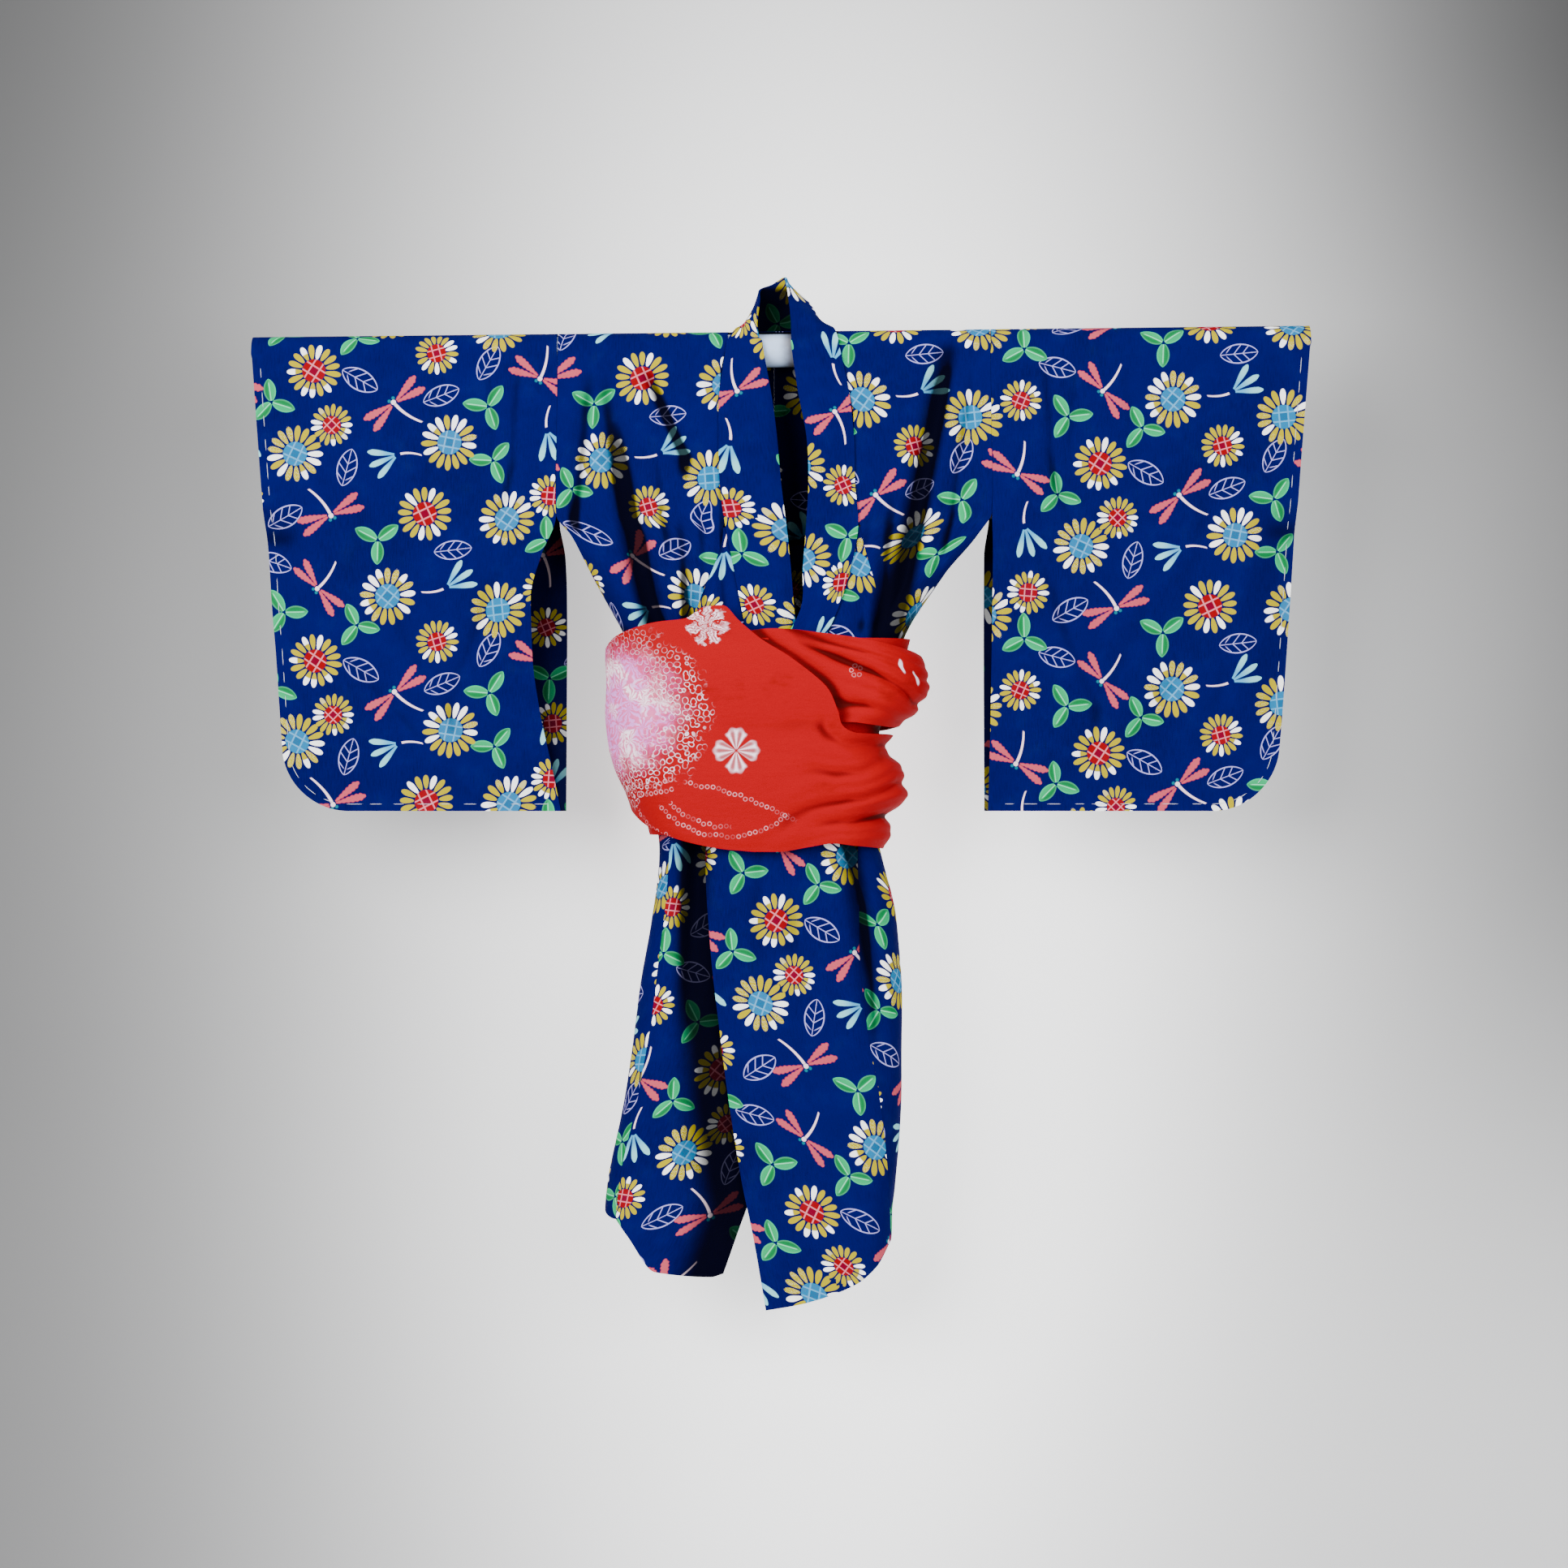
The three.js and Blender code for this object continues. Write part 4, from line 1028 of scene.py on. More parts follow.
def tiedMass(paint, cloth, x, z, colour):
    # pleated puckers round scattered points inside an oval, and a net of small rings round its edge
    look, mass = sashLook, massLook
    far = paint.length((x - mass["x"]) / mass["wide"], (z - mass["z"]) / mass["tall"])
    ragged = far + (paint.noise(cloth, 50, 3) - 0.5) * mass["ragged"]
    scale, share = mass["bend"]
    wobble = paint.node("ShaderNodeTexNoise", None, {"Vector": cloth, "Scale": scale}).outputs["Color"]
    bent = paint.between(share, cloth, wobble)
    cells = paint.node("ShaderNodeTexVoronoi", None, {"Vector": bent, "Scale": mass["puckers"]})
    near = Flow(paint, cells.outputs["Distance"])
    ends = {0: bent, 1: cells.outputs["Position"]}
    offset = paint.node("ShaderNodeVectorMath", {"operation": "SUBTRACT"}, ends).outputs[0]
    px, pz, _ = paint.split(offset)
    fans = paint.turnOf(px, pz) * mass["pleats"] + paint.noise(cloth, 130, 2) * mass["pleats"]
    streak = paint.maths("SINE", fans) * 0.5 + 0.5
    patches = paint.smooth(paint.noise(cloth, 42, 2), 0.46, 0.64)
    pale = paint.blend(patches, look["lilac"], look["white"])
    veins = paint.smooth(streak * (0.35 + near), 0.3, 0.66) * 0.85 + paint.smooth(near, 0.2, 0.04) * 0.9
    pale = paint.blend(paint.lowest(veins, 1.0), pale, look["pink"])
    inside = paint.below(ragged, *mass["inside"])
    colour = paint.blend(inside, colour, pale)
    sockets = {"Vector": paint.between(mass["netBend"], cloth, bent), "Scale": mass["net"],
               "Randomness": mass["netEven"]}
    net = Flow(paint, paint.node("ShaderNodeTexVoronoi", None, sockets).outputs["Distance"])
    ring = paint.below(abs(net - mass["ring"]), *mass["ringWide"])
    ring = ring * (0.35 + 0.65 * paint.smooth(paint.noise(cloth, 160, 2), 0.38, 0.56))
    border = paint.smooth(ragged, *mass["inner"]) * paint.below(ragged, *mass["outer"])
    lower = 0.35 + 0.65 * paint.smooth(x * 0.5 - z, 205, 250)
    ground = paint.blend(inside, look["red"], look["rose"])
    colour = paint.blend(border * (1 - ring) * 0.7, colour, ground)
    colour = paint.blend(border * ring * lower * 0.8, colour, look["white"])
    return colour, inside * (near + streak * 0.3) + border * ring * 0.6


def ringChains(paint, x, z):
    # along each arc, one ring to a step: the distance from its centre, which sways off the arc by chance
    look, marks = chainLook, None
    for i in range(len(chains["x"])):
        row = {name: column[i] for name, column in chains.items()}
        px, pz = x - row["x"], z - row["z"]
        angle = paint.maths("WRAP", paint.turnOf(px, pz) * (180 / math.pi), 360.0, 0.0)
        run = angle * (math.pi / 180 * row["radius"]) / look["step"]
        count = paint.maths("FLOOR", run)
        local = (run - count - 0.5) * look["step"]
        sway = (paint.chance(count + i) - 0.5) * look["sway"]
        ring = abs(paint.length(local, paint.length(px, pz) - row["radius"] + sway) - look["ring"])
        within = paint.smooth(angle, row["start"], row["start"] + 1)
        within = within * paint.below(angle, row["end"], row["end"] + 1)
        bright = look["dim"] + look["bright"] * paint.chance(count * 2.3 + i)
        mark = paint.below(ring, *look["line"]) * within * bright
        marks = mark if marks is None else paint.highest(marks, mark)
    return marks


def pleatedFlower(paint, x, z, place, size, lobes, gap, lean):
    # fans of pale pleats round a point, with scalloped ends: three and a half sine pleats to each lobe
    px, pz = (x - place[0]) / size, (z - place[1]) / size
    far = paint.length(px, pz)
    turn = (paint.turnOf(px, pz) / (2 * math.pi) + lean) * lobes
    lobe = abs(paint.maths("FRACT", turn + lobes) - 0.5) * 2
    fine = paint.maths("SINE", turn * (2 * math.pi * 3.5)) * 0.5 + 0.5
    reached = far / (1 - lobe * lobe * 0.25 - fine * 0.08)
    shape = paint.below(reached, 0.82, 1.0) * paint.smooth(far, 0.02, 0.12)
    wedge = paint.below(lobe, 1 - gap, 1 - gap * 0.45)
    rim = paint.smooth(reached, 0.7, 0.9) * 0.4
    return shape * wedge * paint.lowest(0.12 + fine * fine * 0.85 + rim, 1.0)


def tiedSilk(name):
    # uneven red, then the tied patterns in millimetres of the cloth, then the shade of the folds
    look, paint = sashLook, Paint(name)
    cloth = paint.cloth()
    x, z, _ = paint.split(cloth)
    x, z = x / toMetres, z / toMetres
    crinkle = paint.noise(paint.stretched(cloth, 0.35, 1), 240, 4)
    soft = paint.noise(cloth, 26, 4) + (crinkle - 0.5) * 0.3
    colour = paint.blend(paint.smooth(soft, 0.1, 0.45), look["deepRed"], look["red"])
    colour, puckers = tiedMass(paint, cloth, x, z, colour)
    colour = paint.blend(ringChains(paint, x, z) * 0.7, colour, look["thread"])
    broken = x + (crinkle - 0.5) * 14, z + (paint.noise(cloth, 200, 2) - 0.5) * 12
    burst, fans = pleatedFlower(paint, *broken, *burstForm), pleatedFlower(paint, x, z, *fansForm)
    colour = paint.blend(paint.highest(burst, fans) * 0.9, colour, look["white"])
    for placeX, placeZ in spots["places"]:
        dx, dz = (x - placeX) + (z - placeZ) * spots["lean"], z - placeZ
        mark = paint.below((dx / spots["wide"]) ** 2 + (dz / spots["tall"]) ** 2, 0.4, 1.1)
        colour = paint.blend(mark * 0.8, colour, look["white"])
    # painted shade: the red darkens towards the shade red in the troughs of the folds
    deep = paint.smooth(paint.amount("troughShade"), 0.0, look["creases"]) * look["creaseShade"]
    colour = paint.blend(deep, colour, look["shadeRed"])
    bump = crinkle * 0.8 + puckers * 1.6 + paint.noise(cloth, 1500, 1) * 0.3
    return paint.finish(colour, 0.6 + crinkle * 0.2, bump, *look["bump"], specular=0.05)


# The rod's coating, its brown painted shade and where along X in millimetres that shade begins and is full,
# its scuffs and its bump.
rodLook = {"coating": (0.4, 0.52, 0.72, 1), "rodShade": (0.05, 0.032, 0.026, 1), "scuff": (0.35, 0.33, 0.3, 1),
           "rodShadeFrom": (-4, 9), "bump": (0.08, 0.0003)}


def paintedRod(name):
    # a pale coating with scuffs, and a brown painted shade past an uneven line across the rod
    look, paint = rodLook, Paint(name)
    place = paint.place()
    x, _, _ = paint.split(place)
    scuffs = paint.smooth(paint.noise(place, 90, 5), 0.5, 0.68)
    # painted shade: brown past an uneven line across the rod
    rodShade = paint.smooth(x / toMetres + (paint.noise(place, 60, 3) - 0.5) * 8, *look["rodShadeFrom"])
    colour = paint.blend(rodShade * 0.85, look["coating"], look["rodShade"])
    colour = paint.blend(scuffs * 0.2, colour, look["scuff"])
    grain = paint.noise(place, 400, 2)
    return paint.finish(colour, 0.32 + scuffs * 0.2, grain, *look["bump"], specular=0.4)


cotton = printedCotton("printedCotton")
silk = tiedSilk("tiedSash")
rodPaint = paintedRod("rodCoating")
print("materials ready")


def keep(piece, node, material, shift=None, cloth=None):
    # the finish and print of a piece, the body that it joins and the node that it stands for
    piece.data.materials.append(material)
    if shift is not None:
        layPrint(piece, cloth, shift)
    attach(piece, "root")
    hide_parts(node)


def sewPanel(name, node, left, look, pointAt, across, down, anchor, shadeAt=None):
    # one panel as a wall of cloth, with lengths across it counted from its anchored edge; on the right
    # the columns run the other way, so that its faces point outwards too
    def clothAt(points, u, v):
        return np.stack([acrossCloth(points, anchor), downCloth(points, v)], -1)

    piece, cloth = wall(name, pointAt, across if left else across[::-1], down, form["clothThickness"],
                        clothAt, shadeAt=shadeAt)
    keep(piece, node, cotton, look["shiftLeft"] if left else look["shiftRight"], cloth)


# Front panels.
frontLook = {
    "columns": (52, 48), "frontShare": 12 / 21, "leastBehind": 0.35, "step": 3.4,
    "clothWidth": 150, "sideFolds": 3, "fullness": 1.75, "tightest": 2, "foldsFrom": (-250, -330),
    "hemLeft": -757, "hemRight": -737, "hemSide": -730, "hemShare": 0.35,
    "shiftLeft": (40, 10), "shiftRight": (150, 60), "flat": (0.152, 0.77), "area": 0.115,
}


def frontInner(h, left):
    # a front's inner edge: the neck's seam down to the okumi's top, then that or the okumi's, whichever
    # lies nearer the side
    name = "seamLeft" if left else "seamRight"
    side = 1 if left else -1
    okumi = at(edgeRows, "z", name, h) + side * form["seamGap"] / 2
    neck = at(collarRows, "z", name, h) + side * form["seamGap"]
    lower = side * np.maximum(side * okumi, side * neck)
    return np.where(h > form["okumiTop"] + 1, neck, lower)


def foldDepth(wave, ratio):
    # half the height of a sine wave that is longer by the ratio than its straight way, as a zigzag has it
    return wave / 4 * np.sqrt(ratio * ratio - 1)


def sideFold(h, past, folded, width):
    # even cosine folds behind the side, deep enough to take up the cloth that the section is too short
    # for, and no deeper than the tightest bend allows: wave squared / (4 pi squared * radius)
    look = frontLook
    wave = folded / look["sideFolds"]
    ratio = np.clip((look["clothWidth"] - width + folded) / folded, 1, look["fullness"])
    tight = wave ** 2 / (4 * math.pi ** 2 * look["tightest"])
    depth = np.minimum(foldDepth(wave, ratio), tight) * heldBySash(h) * ease(*look["foldsFrom"], h)
    return np.where(past > 0, -depth * (1 - np.cos(2 * math.pi * past / wave)), 0)


def frontPanel(name, node, left):
    # from the inner edge round the side to the side seam, on the body's ring, down to a slanting hem
    look, side = frontLook, 1 if left else -1
    split = look["frontShare"]

    def shareOf(u, h):
        # the last columns lie on the folds, so the share of the width depends on the height
        ring = bodyRing(h)
        start = side * arcOfX(ring, frontInner(h, left))
        width = sideArc(ring, h, False) - start
        folded = at(bodyRows, "z", "shift", h)
        behind = np.maximum(folded, look["leastBehind"] * width)
        before = (width - behind) * u / split
        after = mix(width - behind, width, (u - split) / (1 - split))
        return start, width, folded, np.where(u < split, before, after)

    def pointAt(u, v):
        _, width, _, way = shareOf(u, np.maximum(v, form["evenFoot"]))
        innerHem = look["hemLeft"] if left else look["hemRight"]
        h = toHem(v, mix(innerHem, look["hemSide"], ease(0, look["hemShare"], way / width)))
        start, width, folded, way = shareOf(u, h)
        fold = sideFold(h, way - width + folded, np.maximum(folded, 1), width)
        return frontPoint(side * (start + way), h, not left, fold)

    before, after = look["columns"]
    across = np.concatenate([np.linspace(0, split, before + 1), np.linspace(split, 1, after + 1)[1:]])
    sewPanel(name, node, left, look, pointAt, across, panelRows(look["step"]), "end" if left else "start",
             shadeFolds if left else shadeUnder)


frontPanel("frontLeftCloth", "front_left", True)
frontPanel("frontRightCloth", "front_right", False)
print("front panels made")


# Back panels, with folds deep enough to take up the cloth that the section is too short for.
backLook = {
    "across": 84, "step": 4.0, "middle": -14, "fullness": 1.75, "foldsFrom": (0, -120),
    "tautTop": (0, -60), "tautEdge": 0.1, "rippleWide": 160, "seed": 4.1,
    "shiftLeft": (90, 130), "shiftRight": (10, 90), "flat": (0.2, 0.751), "area": 0.149,
}


def backPanel(name, node, left):
    # from the side seam to the middle one on the body's ring, in even cosine folds with finer creases
    look, side = backLook, 1 if left else -1

    def pointAt(u, v):
        h = toHem(v, form["hemBack"])
        z = heightOf(h)
        ring = bodyRing(h)
        start, end = sideArc(ring, h, True), backArc(ring) + form["seamGap"] / 2 - form["backSeam"]
        ratio = np.clip(form["backWidth"] / (end - start), 1, look["fullness"])
        wave = (end - start) / form["backFolds"]
        depth = foldDepth(wave, ratio) * heldBySash(z) * ease(*look["foldsFrom"], z)
        fold = -depth * (1 - np.cos(2 * math.pi * form["backFolds"] * u))
        calm = ease(*look["tautTop"], z) * ease(0, look["tautEdge"], u) * ease(1, 1 - look["tautEdge"], u)
        fold = fold + ripple(u * look["rippleWide"], z, look["seed"]) * heldBySash(z) * calm
        arc = side * mix(start, end, u)
        x = side * (onRing(ring, arc, 0, z)[..., 0] - look["middle"])
        return slant(onRing(ring, arc, fold + foldLift(backCreases, x, z) * calm * heldBySash(z), z))

    across = np.linspace(0, 1, look["across"] + 1)
    sewPanel(name, node, left, look, pointAt, across, panelRows(look["step"]), "start" if left else "end")


backPanel("backLeftCloth", "back_left", True)
backPanel("backRightCloth", "back_right", False)
print("back panels made")


# Okumi, the wedges sewn to the fronts.
okumiLook = {"across": 40, "step": 3.4, "least": 1.6, "endRun": 5, "shiftLeft": (200, 150),
             "shiftRight": (60, 30), "flat": (0.13, 0.661), "area": 0.0746}


def okumi(name, node, left):
    # from the collar's seam, and below its end from the free edge, to the front's seam
    look, side = okumiLook, 1 if left else -1
    free = "okumiLeft" if left else "okumiRight"
    seam = "seamLeft" if left else "seamRight"
    end = form["collarEnd"]

    def pointAt(u, v):
        z = toHem(v, at(hemLeft if left else hemRight, "u", "z", u))
        edge = at(edgeRows, "z", free, z)
        neck = at(collarRows, "z", seam, z) + side * form["seamGap"]
        start = np.where(z > end, neck, mix(neck, edge, ease(end, end - look["endRun"], z)))
        finish = at(edgeRows, "z", seam, z) - side * form["seamGap"] / 2
        width = np.maximum(side * (finish - start), look["least"])
        return frontPoint(arcOfX(bodyRing(z), finish - side * width * (1 - u)), z, not left)

    across = np.linspace(0, 1, look["across"] + 1)
    down = spaced(form["okumiTop"], form["rowFoot"], look["step"])
    sewPanel(name, node, left, look, pointAt, across, down, "end" if left else "start",
             shadeFolds if left else shadeUnder)


okumi("okumiLeftCloth", "okumi_left", True)
okumi("okumiRightCloth", "okumi_right", False)
print("okumi made")


# The collar: one doubled band from the right front, round the neck, down the left front.
collarLook = {
    "across": 16, "finer": 5, "heights": (-327, -292, -257, -222, -187, -152, -114, -76, -38, 0, 8.5),
    "proud": 0.8, "proudAbove": (-240, -225), "bulge": 0.8, "seamLift": 0.2, "turned": 3,
    "turnedFrom": (-30, -70), "creaseShare": (0.1, 0.5), "width": 42,
    "shade": 2.6, "shadeBack": (-8, 4), "shadeFoot": (60, 50), "shift": (30, 100), "flat": (0.042, 0.84),
}


def collarLines():
    # free edge, crease and seam of the band at each station, and where the crease lies between the edges
    look = collarLook
    heights = np.array(look["heights"])
    least, half = look["creaseShare"]

    def lying(left):
        # the stretch on one front: it stands proud of the body above the sash
        free = at(collarRows, "z", "freeLeft" if left else "freeRight", heights)
        seam = at(collarRows, "z", "seamLeft" if left else "seamRight", heights)
        crease = mix(free, seam, half) if left else at(collarRows, "z", "creaseRight", heights)
        proud = look["proud"] * ease(*look["proudAbove"], heights)
        turned = look["turned"] * ease(*look["turnedFrom"], heights)
        share = 0 * heights + half if left else np.clip((free - crease) / (free - seam), least, half)
        return (bodyPoint(free, heights, not left, proud if left else proud - turned),
                bodyPoint(crease, heights, not left, proud + look["bulge"]),
                bodyPoint(seam, heights, not left, look["seamLift"]), share)

    right, left = lying(False), lying(True)
    neck = [slant(np.stack([neckRows[part + axis] for axis in "XYZ"], -1))
            for part in ("free", "mid", "seam")]
    neck.append(np.full(len(neckRows["freeX"]), half))
    return [np.concatenate([right[i], neck[i], left[i][::-1]]) for i in range(4)]


def smoothLine(points, where):
    # a smooth curve through every station, by its place in the list: Catmull-Rom
    last = len(points) - 1
    low = np.clip(np.floor(where).astype(int), 0, last - 1)
    t = (where - low)[..., None] if points.ndim > 1 else where - low
    before, start = points[np.maximum(low - 1, 0)], points[low]
    end, after = points[low + 1], points[np.minimum(low + 2, last)]
    return 0.5 * (2 * start + (end - before) * t + (2 * before - 5 * start + 4 * end - after) * t * t
                  + (3 * start - before - 3 * end + after) * t ** 3)


def collar():
    # straight from the free edge to the crease and on to the seam, carried along their smooth lines
    look = collarLook
    free, mid, seam, share = collarLines()
    last = len(free) - 1

    def pointAt(u, v):
        station = np.clip(u, 0, last)
        a, b, c = (smoothLine(line, station) for line in (free, mid, seam))
        split = smoothLine(share, station)
        first = np.clip(v / split, 0, 1)[..., None]
        second = np.clip((v - split) / (1 - split), 0, 1)[..., None]
        return np.where((v < split)[..., None], mix(a, b, first), mix(b, c, second))

    def clothAt(points, u, v):
        middle = points[:, points.shape[1] // 2]
        runs = np.concatenate([[0], np.cumsum(np.linalg.norm(np.diff(middle, axis=0), axis=-1))])
        return np.stack([v * look["width"], runs[:, None] + 0 * v], -1)

    def shadeAt(points):
        # the side that faces the neck, behind it
        behind = ease(*look["shadeBack"], points[..., 1])
        return look["shade"] * behind * ease(*look["shadeFoot"], points[..., 2])

    across = np.linspace(0, last, last * look["finer"] + 1)
    down = np.linspace(0, 1, look["across"] + 1)
    piece, cloth = wall("collarBand", pointAt, across, down, form["collarThickness"], clothAt,
                        windows=(), shadeAt=shadeAt, wrongSideShade=0)
    keep(piece, "collar", cotton, look["shift"], cloth)


collar()
print("collar made")


# Sleeves: one cloth each, folded over the rod and sewn along the foot and the lower outer edge.
sleeveLook = {
    "across": 88, "bendCells": 24, "rows": 120, "turnRows": 16, "finerFoot": 0.95,
    "drawIn": 1.25, "puff": 7, "puffUneven": 0.3, "puffWaves": 7,
    "cuffReach": 45, "cuffFlat": 0.6, "cuffSewn": (20, -12), "bodyReach": 110, "footFlat": 46,
    "ripple": 0.8, "creaseLong": 250, "creaseShift": 12, "creaseShare": 0.7,
    "calmCuff": 25, "calmBody": 12, "calmTop": -30, "calmFoot": 50,
    "shiftLeft": (120, 40), "shiftRight": (0, 200), "flat": (0.252, 0.845),
}
sleeveLayers = {}


def sleeveCreaseLift(past, z, shift):
    # troughs along straight lines, deepest half way: depth * root of sine * exp(-(distance / width) ** 2)
    look, lift = sleeveLook, 0
    for i in range(len(sleeveCreases["depth"])):
        c = {name: column[i] for name, column in sleeveCreases.items()}
        along = np.clip((z - c["topZ"]) / (c["footZ"] - c["topZ"]), 0, 1)
        line = mix(c["topAlong"], c["footAlong"], along) * look["creaseLong"]
        fade = np.sin(math.pi * np.clip(along, 0.02, 0.98)) ** 0.5
        near = ((past - line - shift) / c["width"]) ** 2
        lift = lift - c["depth"] * look["creaseShare"] * fade * np.exp(-near)
    return lift


def sleeve(name, node, left):
    # front layer, turn over the rod and back layer in one grid, from the inner edge to the cuff
    look, side = sleeveLook, 1 if left else -1
    rows = sleeveLeftRows if left else sleeveRightRows
    footZ, corner, radius = form["sleeveFoot"], form["sleeveCorner"], form["foldRadius"]
    width = abs(at(rows, "z", "outer", footZ) - at(rows, "z", "front", footZ))
    shut = form["clothThickness"] + form["seamGap"] / 2
    cornerStart = 1 - corner / width
    seed = 2.2 if left else 5.6

    def layer(u, z, back):
        # half the sleeve's depth: from the rod's radius it draws in to shut at the foot, puffed by a sine
        # on the way, shut at the sewn cuff and as deep as the body beside it
        ring = bodyRing(z)
        seam = (ring["left"] + ring["right"]) / 2 + side * (straightOf(ring) + form["seamGap"])
        inner = np.where(z > form["armholeFoot"], seam, at(rows, "z", "back" if back else "front", z))
        outer = at(rows, "z", "outer", z)
        x = mix(inner, outer, u)
        toCuff, fromBody = np.abs(outer - x), np.abs(x - inner)
        fall = np.clip(z / footZ, 0, 1)
        hang = mix(radius, shut, 1 - (1 - fall) ** look["drawIn"])
        uneven = 1 + look["puffUneven"] * np.sin(u * look["puffWaves"] + (2 if back else 0))
        puff = look["puff"] * np.sin(math.pi * fall) * uneven
        nearCuff = 1 - ease(0, look["cuffReach"], toCuff)
        above, below = look["cuffSewn"]
        sewn = ease(form["cuffFoot"] + above, form["cuffFoot"] + below, z)
        wide = mix(hang + puff * (1 - nearCuff * look["cuffFlat"]), shut, nearCuff * sewn)
        nearBody = 1 - ease(0, look["bodyReach"], fromBody)
        body = at(bodyRows, "z", "half", np.maximum(z, form["armholeFoot"]))
        lower = ease(form["armholeFoot"], footZ, z)
        depth = mix(wide, mix(body, shut, lower), nearBody * (1 - lower))
        soft = ripple(x, z, seed + (3 if back else 0)) * look["ripple"]
        soft = soft + sleeveCreaseLift(fromBody, z, look["creaseShift"] if left or back else 0)
        calm = ease(0, look["calmCuff"], toCuff) * ease(0, look["calmBody"], fromBody)
        calm = calm * ease(0, look["calmTop"], z) * ease(footZ, footZ + look["calmFoot"], z)
        sag = mix(depth, shut, ease(footZ + look["footFlat"], footZ, z))
        y = (1 if back else -1) * np.maximum(sag + soft * calm, shut)
        return slant(np.stack([x, y, z], -1))

    def pointAt(u, v):
        # the front layer for v from 0 to 1, a half circle over the rod to 2, the back layer to 3; the foot
        # rises in a quarter circle at the outer corner
        into = np.clip((u - cornerStart) / (1 - cornerStart), 0, 1)
        foot = footZ + corner * (1 - np.sqrt(1 - into * into))
        front = layer(u, foot * np.clip(1 - v, 0, 1) ** look["finerFoot"], False)
        back = layer(u, foot * np.clip(v - 2, 0, 1) ** look["finerFoot"], True)
        angle = math.pi * np.clip(v - 1, 0, 1)
        x = mix(at(rows, "z", "front", 0 * u), at(rows, "z", "outer", 10 + 0 * u), u)
        over = slant(np.stack([x, -radius * np.cos(angle), radius * np.sin(angle)], -1))
        return np.where((v < 1)[..., None], front, np.where((v > 2)[..., None], back, over))

    def clothAt(points, u, v):
        # lengths down each column, counted from the rod's top
        runs = np.linalg.norm(np.diff(points, axis=1), axis=-1)
        sums = np.concatenate([np.zeros((points.shape[0], 1)), np.cumsum(runs, 1)], 1)
        middle = np.argmin(np.abs(v[0] - 1.5))
        down = (sums - sums[:, middle:middle + 1]) * (1 if v[0, 0] > 1 else -1)
        return np.stack([points[..., 0], -down], -1)

    sleeveLayers[left] = layer, cornerStart
    cells, count = look["bendCells"], look["rows"]
    bend = cornerStart + (1 - cornerStart) * np.sin(np.linspace(0, quarterTurn, cells + 1))[1:]
    across = np.concatenate([np.linspace(0, cornerStart, look["across"] - cells), bend])
    down = np.concatenate([np.linspace(0, 1, count), np.linspace(1, 2, look["turnRows"])[1:],
                           np.linspace(2, 3, count)[1:]])[::-1]
    piece, cloth = wall(name, pointAt, across if left else across[::-1], down, form["clothThickness"],
                        clothAt, windows=(4,))
    keep(piece, node, cotton, look["shiftLeft"] if left else look["shiftRight"], cloth)


sleeve("sleeveLeftCloth", "sleeve_left", True)
sleeve("sleeveRightCloth", "sleeve_right", False)
print("sleeves made")


# The sash: an inner turn, an upper stretch and the smooth front stretch that ends in folds.
stretchLook = {
    "foldsEnd": (0.7, 1), "slantTo": 0.42, "slantAbout": 0.34, "rippleLong": 300, "rippleTall": 1.6,
    "ripple": 0.5, "sink": 2.2, "sinkAt": 4, "sinkWide": 9, "sinkEnd": (0.36, 0.28),
    "flatUpper": (0.1, 0.4), "flatFront": (0.17, 0.66),
}
underLook = {"around": 150, "down": 24, "middle": -11, "girth": 640, "flat": (0.17, 0.62)}


def stretch(name, node, rows, folds, across, down, seed):
    # on the sash's ring, turn by turn, between its top and foot lines, with bell-shaped troughs that slant
    look = stretchLook

    def lineOf(u, v):
        # the turn, and the height between the top and foot lines there, with the ring at that height
        turn = mix(rows["turn"][0], rows["turn"][-1], u)
        z = mix(at(rows, "turn", "top", turn), at(rows, "turn", "foot", turn), v)
        return turn, z, ringAt(sashRows, z, form["sashCrown"])

    def pointAt(u, v):
        turn, z, ring = lineOf(u, v)
        lift = at(rows, "turn", "lift", turn)
        for i in range(len(folds["depth"])):
            f = {key: column[i] for key, column in folds.items()}
            grown = ease(f["start"], f["full"], turn) * (1 - ease(*look["foldsEnd"], turn))
            line = f["down"] + f["slant"] * (np.minimum(turn, look["slantTo"]) - look["slantAbout"])
            lift = lift - f["depth"] * grown * np.exp(-(((v - line) / f["width"]) ** 2))
        if node == "sash_upper":
            # it sinks beside the slanting edge of the stretch that lies over it
            above = z - at(frontStretch, "turn", "top", turn)
            near = np.exp(-((above - look["sinkAt"]) / look["sinkWide"]) ** 2)
            lift = lift - look["sink"] * near * ease(*look["sinkEnd"], turn)
        uneven = ripple(turn * look["rippleLong"], z * look["rippleTall"], seed)
        lift = lift + uneven * look["ripple"] * np.sin(math.pi * np.clip(v, 0, 1))
        half = backArc(ring) + form["seamGap"] / 2
        return onRing(ring, np.where(turn > 1, turn - 2, turn) * half, lift, z)

    def clothAt(points, u, v):
        turn, z, ring = lineOf(u, v)
        return np.stack([(ring["left"] + ring["right"]) / 2 + turn * backArc(ring), z], -1)

    piece, _ = wall(name, pointAt, np.linspace(0, 1, across + 1), np.linspace(0, 1, down + 1),
                    form["sashThickness"], clothAt)
    keep(piece, node, silk)


